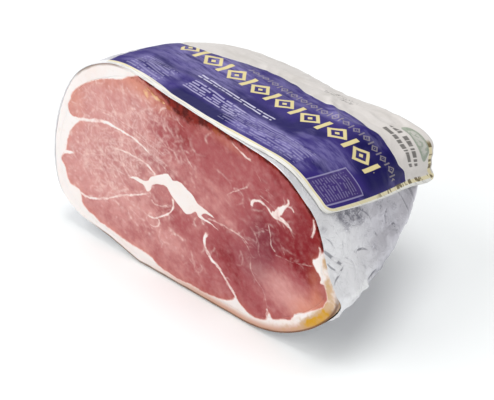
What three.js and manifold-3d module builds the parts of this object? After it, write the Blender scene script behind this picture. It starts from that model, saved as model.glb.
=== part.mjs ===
// Half a boneless dry-cured ham: lean meat under a cover of fat, in a foil wrap with a printed label.
// Millimetres. The cut face looks along -Y, +X is on its right and +Z is up.
// The origin is under the middle of the whole part, on the surface that it stands on.
import * as THREE from 'three';
import { mergeVertices } from 'three/addons/utils/BufferGeometryUtils.js';
import Module from 'manifold-3d';

const wasm = await Module();
wasm.setup();

// The cut face, clockwise from the middle of its left side: across, up, thickness of the fat there.
// The two points a little under zero make the underside that the ham's weight presses flat.
const CUT_FACE = [
  [-120, 58, 4.5],
  [-112, 93, 6.5],
  [-98, 118, 8.5],
  [-76, 133, 9.5],
  [-58, 137, 6],
  [-40, 135, 1],
  [-20, 132, 0],
  [20, 127, 0],
  [70, 119, 0],
  [87, 108, 0],
  [98, 98, 0],
  [110, 68, 4.5],
  [119, 48, 10],
  [106, 26, 11],
  [75, 5, 10],
  [38, -1, 6],
  [-34, -1, 5],
  [-68, 6, 4.2],
  [-102, 13, 6],
  [-116, 25, 7],
];

// How the ham narrows from the cut face to its rounded end.
const HAM_DEPTH = 140;
const END_POINT = { x: 64, z: 93 };
const TOP_FALL = 0.05;
const LEFT_POWER = 3.5;
const RIGHT_POWER = 1.78;
const TOP_POWER = 2;
const UNDERSIDE_POWER = 5.5;
const LOW_RIGHT_POWER = 1.42;
const LOW_RIGHT_FROM = -20;
const LOW_RIGHT_TO = 112;
const SIDE_BLEND = 60;
const HEIGHT_BLEND = 25;

// The layers, from the ham outwards.
const GAP = 0.3;
const FOIL_THICKNESS = 0.8;
const LABEL_THICKNESS = 0.6;
const FOIL_PROUD = 2;
const PROUD_ON_LEFT_OF = -60;
const FLUSH_ON_RIGHT_OF = 60;
const FAT_AT_END = 6;
const THINNEST_FAT = 1;

// The label lies over the top and the right shoulder; depths are from the cut, heights from the ham.
const LABEL_NEAR = 5;
const LABEL_FAR = 128;
const LABEL_LEFT = -72;
const LABEL_SIDE_NEAR = 100;
const LABEL_SIDE_FAR = 69;

// Its far right corner stands off the foil: it falls less there and hangs straight down at the flap.
const LIFT_FROM_SHARE = 0.62;
const LIFT = 1.42;
const LIFT_FROM_X = 0;
const LIFT_TO_X = 90;
const FLAP_X = 91;
const FLAP_FROM_X = 60;
const FLAP_TO_X = 98;
const FLAP_FROM_DEPTH = 92;

// The block that cuts the label to size runs past it by this much, and is wider and taller than the ham.
const CLEAR = 10;
const BLOCK_SIZE = 240;

// Facets round the outline and along the ham.
const AROUND = 64;
const INSET_SPAN = 2;
const HAM_STEPS = 11;
const HAM_LAST_SHARE = 0.95;
const FOIL_MORE_SHARES = [0.975, 0.99, 0.998];
const LABEL_LAST_STEP = 0.03;
const MERGE_WITHIN = 1e-4;

const FINISH = {
  lean: { color: 0x9b3a3c, roughness: 0.45, metalness: 0 },
  fat_cover: { color: 0xeee6dc, roughness: 0.4, metalness: 0 },
  foil_wrap: { color: 0xc8c9cb, roughness: 0.35, metalness: 0.8 },
  label: { color: 0x3a2f6c, roughness: 0.4, metalness: 0 },
};

const HAM_BOTTOM = FOIL_THICKNESS + GAP;
const FOIL_OUT = GAP + FOIL_THICKNESS;
const LABEL_IN = FOIL_OUT + GAP;
const LABEL_OUT = LABEL_IN + LABEL_THICKNESS;
const CUT_Y = (FOIL_PROUD - HAM_DEPTH - FOIL_OUT) / 2;

// The outline as evenly spaced points, with the fat's thickness at each, about the middle of its width.
function cutFace() {
  const corners = CUT_FACE.map(([across, up, fat]) => new THREE.Vector3(across, up, fat));
  const curve = new THREE.CatmullRomCurve3(corners, true, 'centripetal');
  const spaced = curve.getSpacedPoints(AROUND).slice(0, AROUND);
  const across = spaced.map((point) => point.x);
  const middle = (Math.min(...across) + Math.max(...across)) / 2;
  return spaced.map((point) => {
    const placed = { x: point.x - middle, z: Math.max(point.y, 0) };
    return { ...placed, skin: placed, fat: Math.max(point.z, 0) };
  });
}

// The outline moved outwards by a distance that may differ from point to point.
// The direction is taken over a few points, so that a deep inset doesn't fold at the sharp low corner.
function grown(outline, distance) {
  return outline.map((point, i) => {
    const before = outline[(i + AROUND - INSET_SPAN) % AROUND];
    const after = outline[(i + INSET_SPAN) % AROUND];
    const along = new THREE.Vector2(after.x - before.x, after.z - before.z).normalize();
    const out = distance(point, i);
    return { ...point, x: point.x - along.y * out, z: point.z + along.x * out };
  });
}

function smooth(value, from, to) {
  return THREE.MathUtils.smoothstep(value, from, to);
}

function shrink(share, power) {
  return Math.pow(Math.max(1 - Math.pow(share, power), 0), 1 / power);
}

// A point of the outline carried to a share of the ham's depth, where the ham is narrower.
// Every layer narrows as the ham's skin does at that point, so the layers stay clear of each other.
function narrowed(point, share) {
  const { skin } = point;
  const lowRight = smooth(skin.x, LOW_RIGHT_FROM, LOW_RIGHT_TO);
  const underPower = 1 / THREE.MathUtils.lerp(1 / UNDERSIDE_POWER, 1 / LOW_RIGHT_POWER, lowRight);
  const right = smooth(skin.x, END_POINT.x - SIDE_BLEND, END_POINT.x + SIDE_BLEND);
  const low = 1 - smooth(skin.z, END_POINT.z - HEIGHT_BLEND, END_POINT.z + HEIGHT_BLEND);
  const across = THREE.MathUtils.lerp(shrink(share, LEFT_POWER), shrink(share, RIGHT_POWER), right);
  const upward = THREE.MathUtils.lerp(shrink(share, TOP_POWER), shrink(share, underPower), low);
  const fall = TOP_FALL * share * HAM_DEPTH * skin.z / END_POINT.z;
  return {
    x: END_POINT.x + (point.x - END_POINT.x) * across,
    z: END_POINT.z + (point.z - END_POINT.z) * upward - fall,
  };
}

// One ring of a layer; floor is the height of the layer's own flat underside.
function ring(outline, share, y, floor) {
  return outline.map((point) => {
    const placed = narrowed(point, share);
    return new THREE.Vector3(placed.x, y + CUT_Y, Math.max(placed.z + HAM_BOTTOM, floor));
  });
}

// Shares of the depth, closer together towards the rounded end.
function hamShares() {
  const turn = Math.asin(HAM_LAST_SHARE);
  return Array.from({ length: HAM_STEPS + 1 }, (_, k) => Math.sin(turn * k / HAM_STEPS));
}

function layer(outline, depth, floor, moreShares = []) {
  return [...hamShares(), ...moreShares].map((share) => ring(outline, share, share * depth, floor));
}

// Collects triangles and gives them as one closed geometry.
class Skin {
  constructor() {
    this.corners = [];
  }

  triangle(a, b, c) {
    this.corners.push(a, b, c);
  }

  quad(a, b, c, d) {
    this.triangle(a, b, c);
    this.triangle(a, c, d);
  }

  // Rows of points, each row further back; it faces outwards when a row runs clockwise seen from the cut.
  sheet(rows, closed, inward = false) {
    const last = closed ? rows[0].length : rows[0].length - 1;
    for (let k = 0; k + 1 < rows.length; k += 1) {
      for (let i = 0; i < last; i += 1) {
        const j = (i + 1) % rows[0].length;
        const [a, b, c, d] = [rows[k][i], rows[k][j], rows[k + 1][j], rows[k + 1][i]];
        if (inward) this.quad(a, d, c, b);
        else this.quad(a, b, c, d);
      }
    }
  }

  // A fan from a middle point to a row, looking back (+Y) or forward.
  fan(middle, row, back) {
    row.forEach((point, i) => {
      const next = row[(i + 1) % row.length];
      if (back) this.triangle(middle, point, next);
      else this.triangle(middle, next, point);
    });
  }

  geometry() {
    const made = new THREE.BufferGeometry().setFromPoints(this.corners);
    return mergeVertices(made, MERGE_WITHIN);
  }
}

// The point that a layer narrows to, at a given depth.
function endPoint(depth) {
  const up = END_POINT.z + HAM_BOTTOM - TOP_FALL * HAM_DEPTH;
  return new THREE.Vector3(END_POINT.x, depth + CUT_Y, up);
}

function leanGeometry(outline, covered) {
  const fatAt = (point, i) => (covered(i) ? Math.max(point.fat, THINNEST_FAT) + GAP : 0);
  const inner = grown(outline, (point, i) => -fatAt(point, i));
  const depth = HAM_DEPTH - FAT_AT_END - GAP;
  const rings = layer(inner, depth, HAM_BOTTOM);
  const skin = new Skin();
  skin.sheet(rings, true);
  const middle = new THREE.Vector3(0, CUT_Y, END_POINT.z / 2);
  skin.fan(middle, rings[0], false);
  skin.fan(endPoint(HAM_LAST_SHARE * depth), rings[rings.length - 1], true);
  return skin.geometry();
}

// The fat covers the left, the underside and the lower right; its two edges thin out against the foil.
function fatGeometry(outline, order) {
  const pick = (rows) => rows.map((row) => order.map((i) => row[i]));
  const inner = grown(outline, (point) => -Math.max(point.fat, THINNEST_FAT));
  const outside = pick(layer(outline, HAM_DEPTH, HAM_BOTTOM));
  const inside = pick(layer(inner, HAM_DEPTH - FAT_AT_END, HAM_BOTTOM));
  const last = outside.length - 1;
  const end = order.length - 1;
  const skin = new Skin();
  skin.sheet(outside, false);
  skin.sheet(inside, false, true);
  skin.sheet([inside[0], outside[0]], false);
  skin.sheet([outside[last], inside[last]], false);
  skin.sheet([outside.map((row) => row[0]), inside.map((row) => row[0])], false);
  skin.sheet([inside.map((row) => row[end]), outside.map((row) => row[end])], false);
  return skin.geometry();
}

// A cup of foil, open at the cut and a little proud of it on the left.
function foilGeometry(outline) {
  const outside = layer(grown(outline, () => FOIL_OUT), HAM_DEPTH + FOIL_OUT, 0, FOIL_MORE_SHARES);
  const inside = layer(grown(outline, () => GAP), HAM_DEPTH + GAP, FOIL_THICKNESS, FOIL_MORE_SHARES);
  [outside[0], inside[0]].forEach((rim) => rim.forEach((point) => {
    point.y -= FOIL_PROUD * (1 - smooth(point.x, PROUD_ON_LEFT_OF, FLUSH_ON_RIGHT_OF));
  }));
  const skin = new Skin();
  skin.sheet(outside, true);
  skin.sheet(inside, true, true);
  skin.sheet([inside[0], outside[0]], true);
  skin.fan(endPoint(HAM_DEPTH + FOIL_OUT), outside[outside.length - 1], true);
  skin.fan(endPoint(HAM_DEPTH + GAP), inside[inside.length - 1], false);
  return skin.geometry();
}

// A point of the label at a share of the depth: close over the foil, but for the far right corner.
function labelPoint(point, share, out) {
  const depth = share * (HAM_DEPTH + out);
  const past = Math.max(share - LIFT_FROM_SHARE, 0);
  const lift = LIFT * past * past * smooth(point.skin.x, LIFT_FROM_X, LIFT_TO_X);
  const placed = narrowed(point, share - lift);
  const flap = smooth(point.skin.x, FLAP_FROM_X, FLAP_TO_X) * smooth(depth, FLAP_FROM_DEPTH, LABEL_FAR);
  const x = THREE.MathUtils.lerp(placed.x, FLAP_X + out, flap);
  return new THREE.Vector3(Math.max(x, placed.x), depth + CUT_Y, placed.z + HAM_BOTTOM);
}

function labelTube(outline) {
  const farShare = LABEL_FAR / HAM_DEPTH;
  const shares = [...hamShares().filter((share) => share < farShare - LABEL_LAST_STEP), farShare];
  const rows = (out) => {
    const section = grown(outline, () => out);
    return shares.map((share) => section.map((point) => labelPoint(point, share, out)));
  };
  const outside = rows(LABEL_OUT);
  const inside = rows(LABEL_IN);
  const last = outside.length - 1;
  const skin = new Skin();
  skin.sheet(outside, true);
  skin.sheet(inside, true, true);
  skin.sheet([inside[0], outside[0]], true);
  skin.sheet([outside[last], inside[last]], true);
  return skin.geometry();
}

// What the label keeps of the tube: a block bounded by the label's four edges.
function labelBlock() {
  const fall = (LABEL_SIDE_NEAR - LABEL_SIDE_FAR) / (LABEL_FAR - LABEL_NEAR);
  const corner = (depth, height) => new THREE.Vector2(depth + CUT_Y, height + HAM_BOTTOM);
  const side = new THREE.Shape([
    corner(LABEL_NEAR, LABEL_SIDE_NEAR),
    corner(LABEL_FAR + CLEAR, LABEL_SIDE_FAR - fall * CLEAR),
    corner(LABEL_FAR + CLEAR, BLOCK_SIZE),
    corner(LABEL_NEAR, BLOCK_SIZE),
  ]);
  const block = new THREE.ExtrudeGeometry(side, { depth: BLOCK_SIZE, bevelEnabled: false });
  block.applyMatrix4(new THREE.Matrix4().makeBasis(
    new THREE.Vector3(0, 1, 0),
    new THREE.Vector3(0, 0, 1),
    new THREE.Vector3(1, 0, 0),
  ));
  block.translate(LABEL_LEFT, 0, 0);
  return block;
}

function toSolid(geometry) {
  const bare = geometry.clone();
  bare.deleteAttribute('normal');
  bare.deleteAttribute('uv');
  const merged = mergeVertices(bare, MERGE_WITHIN);
  const index = merged.index ? merged.index.array : merged.attributes.position.array.map((_, i) => i);
  return new wasm.Manifold(new wasm.Mesh({
    numProp: 3,
    vertProperties: new Float32Array(merged.attributes.position.array),
    triVerts: new Uint32Array(index),
  }));
}

function toGeometry(solid) {
  const mesh = solid.getMesh();
  const geometry = new THREE.BufferGeometry();
  geometry.setAttribute('position', new THREE.BufferAttribute(mesh.vertProperties, 3));
  geometry.setIndex(new THREE.BufferAttribute(mesh.triVerts, 1));
  return geometry;
}

function labelGeometry(outline) {
  return toGeometry(toSolid(labelTube(outline)).intersect(toSolid(labelBlock())));
}

function piece(name, geometry) {
  geometry.computeVertexNormals();
  const mesh = new THREE.Mesh(geometry, new THREE.MeshStandardMaterial(FINISH[name]));
  mesh.name = name;
  return mesh;
}

function build() {
  const outline = cutFace();
  const hasFat = outline.map((point) => point.fat >= THINNEST_FAT);
  const first = hasFat.findIndex((is, i) => is && !hasFat[(i + AROUND - 1) % AROUND]);
  const count = hasFat.filter(Boolean).length;
  const order = Array.from({ length: count }, (_, k) => (first + k) % AROUND);
  const covered = (i) => [-1, 0, 1].some((step) => hasFat[(i + step + AROUND) % AROUND]);
  const part = new THREE.Group();
  part.add(piece('lean', leanGeometry(outline, covered)));
  part.add(piece('fat_cover', fatGeometry(outline, order)));
  part.add(piece('foil_wrap', foilGeometry(outline)));
  part.add(piece('label', labelGeometry(outline)));
  return part;
}

export default build();
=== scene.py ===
"""Half a boneless dry-cured ham: marbled cut face, fat cover, crinkled foil and a printed label."""

import bpy
import numpy as np
from mathutils import Matrix, Vector
from mathutils.geometry import delaunay_2d_cdt


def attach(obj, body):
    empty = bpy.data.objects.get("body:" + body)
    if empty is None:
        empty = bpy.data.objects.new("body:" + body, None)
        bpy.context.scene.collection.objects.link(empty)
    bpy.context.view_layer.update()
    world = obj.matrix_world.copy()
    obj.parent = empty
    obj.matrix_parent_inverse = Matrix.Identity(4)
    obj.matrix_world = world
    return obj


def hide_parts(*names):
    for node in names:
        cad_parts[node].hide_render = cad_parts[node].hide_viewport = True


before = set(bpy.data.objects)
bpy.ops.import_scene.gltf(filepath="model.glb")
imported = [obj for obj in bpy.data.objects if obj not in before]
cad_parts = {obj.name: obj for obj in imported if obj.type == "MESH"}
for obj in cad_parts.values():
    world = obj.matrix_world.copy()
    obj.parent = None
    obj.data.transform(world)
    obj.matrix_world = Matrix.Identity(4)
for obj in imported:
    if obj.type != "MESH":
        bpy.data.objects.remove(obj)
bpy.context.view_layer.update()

# Lengths are millimetres until a mesh is made. The cut face looks along -Y and +Z is up.
MM = 0.001

# The cut face, clockwise from the middle of its left side: across, up, thickness of the fat there.
CUT_FACE = [
    (-120, 58, 4.5), (-112, 93, 6.5), (-98, 118, 8.5), (-76, 133, 9.5), (-58, 137, 6), (-40, 135, 1),
    (-20, 132, 0), (20, 127, 0), (70, 119, 0), (87, 108, 0), (98, 98, 0), (110, 68, 4.5), (119, 48, 10),
    (106, 26, 11), (75, 5, 10), (38, -1, 6), (-34, -1, 5), (-68, 6, 4.2), (-102, 13, 6), (-116, 25, 7),
]
HAM_DEPTH = 140
END_X = 64
END_Z = 93
TOP_FALL = 0.05
LEFT_POWER = 3.5
RIGHT_POWER = 1.78
TOP_POWER = 2
UNDERSIDE_POWER = 5.5
LOW_RIGHT_POWER = 1.42
LOW_RIGHT_FROM = -20
LOW_RIGHT_TO = 112
SIDE_BLEND = 60
HEIGHT_BLEND = 25
HAM_BOTTOM = 1.1
CUT_Y = -69.55
# The plain form that spaces the sections along the ham's depth.
STATION_STEPS = 4000
STATION_POWER = 2.6
STATION_HALF = 80

# The label's lifted far corner.
LIFT_FROM_SHARE = 0.62
LIFT = 1.42
LIFT_TO_X = 90
FLAP_X = 91
FLAP_FROM_X = 60
FLAP_TO_X = 98
FLAP_FROM_DEPTH = 92
LABEL_FAR = 128
LABEL_LEFT = -72

RIM_POINTS = 720


def blend(low, high, share):
    return low + (high - low) * share


def smooth(value, start, end):
    t = np.clip((np.asarray(value, float) - start) / (end - start), 0, 1)
    return t * t * (3 - 2 * t)


class Noise:
    """Smooth gradient noise of about -1 to 1, from a seeded table."""

    def __init__(self, seed):
        rng = np.random.default_rng(seed)
        self.table = rng.permutation(256)
        slopes = rng.normal(size=(256, 3))
        self.slopes = slopes / np.linalg.norm(slopes, axis=1, keepdims=True)

    def __call__(self, points, size):
        scaled = np.asarray(points, float) / size
        base = np.floor(scaled).astype(int)
        part = scaled - base
        ease = part ** 3 * (part * (part * 6 - 15) + 10)
        total = np.zeros(len(scaled))
        for corner in np.ndindex(2, 2, 2):
            cell = (base + corner) & 255
            key = self.table[cell[:, 0]]
            key = self.table[(key + cell[:, 1]) & 255]
            key = self.table[(key + cell[:, 2]) & 255]
            value = ((part - corner) * self.slopes[key]).sum(1)
            total += value * np.where(corner, ease, 1 - ease).prod(1)
        return total * 1.6

    def layered(self, points, size, layers=3, fade=0.5):
        parts = [fade ** k * self(points, size / 2 ** k) for k in range(layers)]
        return sum(parts) / sum(fade ** k for k in range(layers))


# Curves and polygons


def spline(points, per_span, closed=False):
    """A centripetal Catmull-Rom curve through the points."""
    pts = np.asarray(points, float)
    if closed:
        ring = np.vstack([pts[-1:], pts, pts[:2]])
    else:
        ring = np.vstack([2 * pts[0] - pts[1], pts, 2 * pts[-1] - pts[-2]])
    share = np.linspace(0, 1, per_span, endpoint=False)[:, None]
    spans = []
    for a, b, c, d in zip(ring, ring[1:], ring[2:], ring[3:]):
        first, middle, last = (max(np.linalg.norm(q - p), 1e-6) ** 0.5 for p, q in ((a, b), (b, c), (c, d)))
        leave = ((b - a) / first - (c - a) / (first + middle) + (c - b) / middle) * middle
        arrive = ((c - b) / middle - (d - b) / (middle + last) + (d - c) / last) * middle
        t = share
        spans.append(
            b * (2 * t ** 3 - 3 * t ** 2 + 1) + leave * (t ** 3 - 2 * t ** 2 + t)
            + c * (3 * t ** 2 - 2 * t ** 3) + arrive * (t ** 3 - t ** 2)
        )
    made = np.vstack(spans)
    return made if closed else np.vstack([made, pts[-1:]])


def even(curve, count, closed=False):
    """The curve resampled to evenly spaced points."""
    line = np.vstack([curve, curve[:1]]) if closed else curve
    run = np.r_[0, np.cumsum(np.linalg.norm(np.diff(line, axis=0), axis=1))]
    marks = np.linspace(0, run[-1], count, endpoint=not closed)
    return np.stack([np.interp(marks, run, line[:, k]) for k in range(line.shape[1])], 1)


def to_line(points, line):
    """Each point's distance to a line of points, and the share of the line at its nearest place."""
    best = np.full(len(points), 1e9)
    where = np.zeros(len(points))
    steps = len(line) - 1
    for k in range(steps):
        start, along = line[k], line[k + 1] - line[k]
        offset = points - start
        t = np.clip(offset @ along / max(along @ along, 1e-9), 0, 1)
        gap = np.hypot(offset[:, 0] - t * along[0], offset[:, 1] - t * along[1])
        near = gap < best
        best[near] = gap[near]
        where[near] = (k + t[near]) / steps
    return best, where


def inside(points, polygon):
    """Whether each point is in the polygon."""
    found = np.zeros(len(points), bool)
    x, z = points[:, 0], points[:, 1]
    for (x0, z0), (x1, z1) in zip(polygon, np.roll(polygon, -1, axis=0)):
        if z0 == z1:
            continue
        crosses = ((z0 > z) != (z1 > z)) & (x < (x1 - x0) * (z - z0) / (z1 - z0) + x0)
        found ^= crosses
    return found


def depth_in(points, polygon):
    """How far each point is inside the polygon; outside it is negative."""
    gap, _ = to_line(points, np.vstack([polygon, polygon[:1]]))
    return np.where(inside(points, polygon), gap, -gap)


# The ham's form


def cut_outline(count):
    """The outline as rows of x, z and fat thickness, z above the ham's own flat underside."""
    made = even(spline(CUT_FACE, 24, closed=True), count, closed=True)
    middle = (made[:, 0].min() + made[:, 0].max()) / 2
    made[:, 0] -= middle
    made[:, 1:] = np.maximum(made[:, 1:], 0)
    return made


def grown(outline, distance):
    """The outline moved outwards; the distance may differ from point to point."""
    span = max(len(outline) // 64, 1) * 2
    along = np.roll(outline, -span, axis=0)[:, :2] - np.roll(outline, span, axis=0)[:, :2]
    along /= np.linalg.norm(along, axis=1, keepdims=True)
    out = outline[:, :2].copy()
    out[:, 0] -= along[:, 1] * distance
    out[:, 1] += along[:, 0] * distance
    return out


def shrink(share, power):
    return np.maximum(1 - np.power(share, power), 0) ** (1 / power)


def narrowed(place, skin, share):
    """Points of the section carried to a share of the ham's depth."""
    low_right = smooth(skin[..., 0], LOW_RIGHT_FROM, LOW_RIGHT_TO)
    under_power = 1 / blend(1 / UNDERSIDE_POWER, 1 / LOW_RIGHT_POWER, low_right)
    right = smooth(skin[..., 0], END_X - SIDE_BLEND, END_X + SIDE_BLEND)
    low = 1 - smooth(skin[..., 1], END_Z - HEIGHT_BLEND, END_Z + HEIGHT_BLEND)
    across = blend(shrink(share, LEFT_POWER), shrink(share, RIGHT_POWER), right)
    upward = blend(shrink(share, TOP_POWER), shrink(share, under_power), low)
    fall = TOP_FALL * share * HAM_DEPTH * skin[..., 1] / END_Z
    x = END_X + (place[..., 0] - END_X) * across
    z = END_Z + (place[..., 1] - END_Z) * upward - fall
    return x, z


def body(outline, out, shares, depth, floor):
    """Rings of points (station, around, xyz) of the ham's form moved out by a distance."""
    place = grown(outline, out)[None]
    share = np.asarray(shares)[:, None]
    x, z = narrowed(place, outline[None, :, :2], share)
    y = np.broadcast_to(share * depth + CUT_Y, x.shape)
    return np.stack([x, y, np.maximum(z + HAM_BOTTOM, floor)], 2)


def stations(count, last=1.0):
    """Shares of the depth that are evenly spaced along the ham's rounded skin."""
    turn = np.linspace(0, np.pi / 2, STATION_STEPS)
    share = np.sin(turn) ** (2 / STATION_POWER)
    size = np.cos(turn) ** (2 / STATION_POWER)
    run = np.r_[0, np.cumsum(np.hypot(np.diff(share) * HAM_DEPTH, np.diff(size) * STATION_HALF))]
    marks = np.linspace(0, run[-1] * last, count)
    return np.interp(marks, run, share)


def normals_of(grid, closed):
    """Outward normals of a grid of points (station, around, xyz) that runs clockwise seen from the cut."""
    if closed:
        around = np.roll(grid, -1, axis=1) - np.roll(grid, 1, axis=1)
    else:
        around = np.gradient(grid, axis=1)
    back = np.gradient(grid, axis=0)
    made = np.cross(around, back)
    size = np.linalg.norm(made, axis=2, keepdims=True)
    return made / np.maximum(size, 1e-9)


# Meshes


def new_piece(name, vertices, faces, fields=None, vectors=None):
    """A mesh object in metres, with its fields kept as attributes of its points."""
    mesh = bpy.data.meshes.new(name)
    mesh.from_pydata((np.asarray(vertices) * MM).tolist(), [], [list(face) for face in faces])
    mesh.validate()
    for key, values in (fields or {}).items():
        layer = mesh.attributes.new(key, "FLOAT", "POINT")
        layer.data.foreach_set("value", np.asarray(values, np.float32))
    for key, values in (vectors or {}).items():
        layer = mesh.attributes.new(key, "FLOAT_VECTOR", "POINT")
        layer.data.foreach_set("vector", np.asarray(values, np.float32).ravel())
    mesh.shade_smooth()
    made = bpy.data.objects.new(name, mesh)
    bpy.context.scene.collection.objects.link(made)
    return made


def sheet_faces(rows, columns, closed=False, start=0, inward=False):
    """Quads of a grid whose points are numbered row by row."""
    across = np.arange(columns if closed else columns - 1)
    after = (across + 1) % columns
    faces = []
    for row in range(rows - 1):
        here, there = start + row * columns, start + (row + 1) * columns
        quads = np.stack([here + across, here + after, there + after, there + across], 1)
        faces.append(quads[:, ::-1] if inward else quads)
    return np.concatenate(faces).tolist()


# The cut face: what lies where. Points are x and z on the cut, widths are millimetres.

LEAN_EDGE = [
    (-99, 107), (-93, 112), (-86, 117), (-77, 122), (-68, 126), (-59, 129), (-53, 133), (-47, 136),
    (-42, 139), (-20, 142), (40, 134), (75, 128), (100, 112), (112, 92), (106, 81), (104, 77), (99, 71),
    (102, 67), (107, 62), (110, 57), (112, 52), (111, 46), (108, 41), (103, 37), (96, 32), (90, 28),
    (87, 22), (79, 18), (73, 15), (70, 18), (68, 12), (65, 10), (60, 9), (55, 9), (47, 13), (43, 16),
    (40, 12), (34, 9), (26, 7), (14, 6), (5, 6), (-4, 5), (-13, 5), (-22, 6), (-31, 10), (-49, 11),
    (-58, 12), (-68, 14), (-77, 15), (-82, 17), (-89, 19), (-94, 22), (-95, 28), (-96, 31), (-101, 32),
    (-106, 33), (-109, 38), (-111, 44), (-114, 48), (-112, 53), (-109, 58), (-108, 65), (-105, 73),
    (-100, 80), (-96, 85), (-99, 85), (-104, 86), (-106, 88), (-107, 92), (-105, 96), (-103, 102),
]

# Fat seams between the muscles: points, width at the start and at the end, strength.
SEAMS = [
   
    ([(-108, 83), (-98, 85), (-86, 89), (-73, 93), (-62, 93), (-50, 92), (-40, 90), (-30, 86)],
     3.0, 1.0, 0.95),
    ([(-30, 86), (-20, 82), (-12, 77), (-6, 71)], 1.0, 0.6, 0.4),
    ([(-77, 99), (-66, 100), (-53, 99), (-42, 97), (-33, 93)], 1.0, 0.8, 0.55),
    ([(-58, 98), (-50, 95), (-40, 94), (-28, 92), (-18, 88)], 0.9, 0.7, 0.45),
    ([(-100, 30), (-90, 29), (-80, 32), (-70, 37), (-59, 44), (-45, 51), (-32, 58)], 2.2, 1.2, 0.85),
    ([(-117, 49), (-110, 55), (-101, 58)], 4.0, 1.4, 0.9),
    ([(-27, 73), (-32, 76), (-36, 78), (-45, 79), (-57, 79), (-66, 77)], 2.2, 0.9, 0.9),
    ([(-49, 61), (-60, 62), (-70, 60)], 1.2, 0.6, 0.5),
    ([(-13, 64), (-12, 58), (-14, 52), (-21, 46), (-29, 41), (-36, 41)], 1.7, 1.1, 0.85),
    ([(-24, 43), (-24, 38), (-27, 35), (-33, 34)], 1.2, 0.8, 0.7),
    ([(16, 62), (25, 63), (34, 63), (44, 62), (52, 58)], 1.6, 0.7, 0.55),
    ([(18, 52), (15, 46), (16, 40), (20, 35), (28, 30), (36, 23), (42, 17), (45, 13)], 2.6, 2.0, 0.92),
    ([(40, 66), (46, 60), (52, 54), (53, 45), (57, 38), (64, 32), (67, 25), (70, 15)], 0.9, 1.2, 0.42),
    ([(51, 86), (52, 91), (57, 93), (62, 92), (67, 88), (76, 87), (84, 83)], 2.0, 1.5, 0.9),
    ([(56, 97), (62, 96), (68, 93), (72, 91)], 0.9, 0.7, 0.5),
    ([(70, 89), (74, 96), (78, 101), (77, 104)], 4.2, 1.2, 0.97),
    ([(66, 89), (76, 88), (80, 86)], 3.6, 1.8, 0.9), ([(76, 99), (81, 99), (83, 97)], 1.8, 0.8, 0.8),
    ([(33, 123), (39, 120), (49, 117)], 1.1, 1.6, 0.75), ([(51, 113), (60, 104), (70, 99)], 0.8, 0.7, 0.35),
    ([(-31, 54), (-28, 52), (-23, 53), (-16, 56)], 1.3, 0.9, 0.7),
    ([(-14, 32), (-13, 36), (-5, 38)], 1.0, 0.8, 0.5), ([(1, 27), (5, 24), (8, 20)], 0.9, 0.7, 0.5),
    ([(64, 81), (67, 74), (68, 67), (72, 63)], 1.0, 1.1, 0.62),
    ([(54, 74), (60, 75), (66, 77)], 0.9, 0.6, 0.45), ([(74, 72), (78, 66), (83, 61)], 0.8, 0.5, 0.35),
    ([(31, 85), (36, 90), (42, 95), (48, 99)], 0.8, 1.1, 0.6),
    ([(54, 100), (59, 102), (63, 103)], 0.7, 0.7, 0.4), ([(97, 99), (98, 92), (97, 86)], 1.2, 1.8, 0.8),
    ([(103, 83), (104, 78), (103, 71)], 1.3, 1.9, 0.85), ([(103, 70), (107, 64), (108, 58)], 2.4, 3.4, 0.9),
    ([(70, 62), (82, 63), (92, 65), (101, 68)], 0.7, 1.0, 0.45),
    ([(-26, 118), (-24, 123), (-20, 125)], 1.6, 1.0, 0.6),
    ([(-12, 122), (-8, 118), (-2, 117)], 1.0, 0.8, 0.5), ([(-4, 100), (0, 95), (3, 92)], 1.0, 0.7, 0.5),
    ([(-46, 113), (-38, 104), (-32, 99)], 1.0, 0.8, 0.45),
    ([(-72, 113), (-66, 107), (-62, 100)], 1.4, 0.8, 0.5),
    ([(-84, 112), (-76, 112), (-70, 109)], 0.9, 0.6, 0.35),
    ([(-108, 95), (-97, 96), (-88, 95)], 1.4, 0.7, 0.4),
    ([(-92, 108), (-80, 110), (-74, 108)], 1.0, 0.6, 0.35), ([(68, 20), (70, 14)], 1.6, 3.4, 0.9),
]

# The patch of fat in the middle of the cut.
PATCH = [
    (-50, 62), (-44, 65), (-38, 65), (-34, 67), (-31, 71), (-26, 74), (-17, 79), (-13, 76), (-7, 78),
    (-1, 75), (4, 73), (8, 69), (13, 68), (18, 67), (23, 65), (15, 65), (12, 62), (19, 60), (26, 58),
    (19, 59), (10, 60), (7, 62), (3, 59), (-1, 57), (-6, 60), (-11, 63), (-14, 65), (-18, 69), (-25, 68),
    (-30, 65), (-32, 60), (-35, 58), (-37, 61), (-42, 62),
]


def wide_marks(points, marks):
    """The sum of soft round marks: x, z, half-widths, turn in degrees, strength."""
    total = np.zeros(len(points))
    for x, z, wide, high, turn, strength in marks:
        angle = np.radians(turn)
        dx, dz = points[:, 0] - x, points[:, 1] - z
        along = (dx * np.cos(angle) + dz * np.sin(angle)) / wide
        across = (dz * np.cos(angle) - dx * np.sin(angle)) / high
        total += strength * np.exp(-(along ** 2 + across ** 2))
    return total


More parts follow.
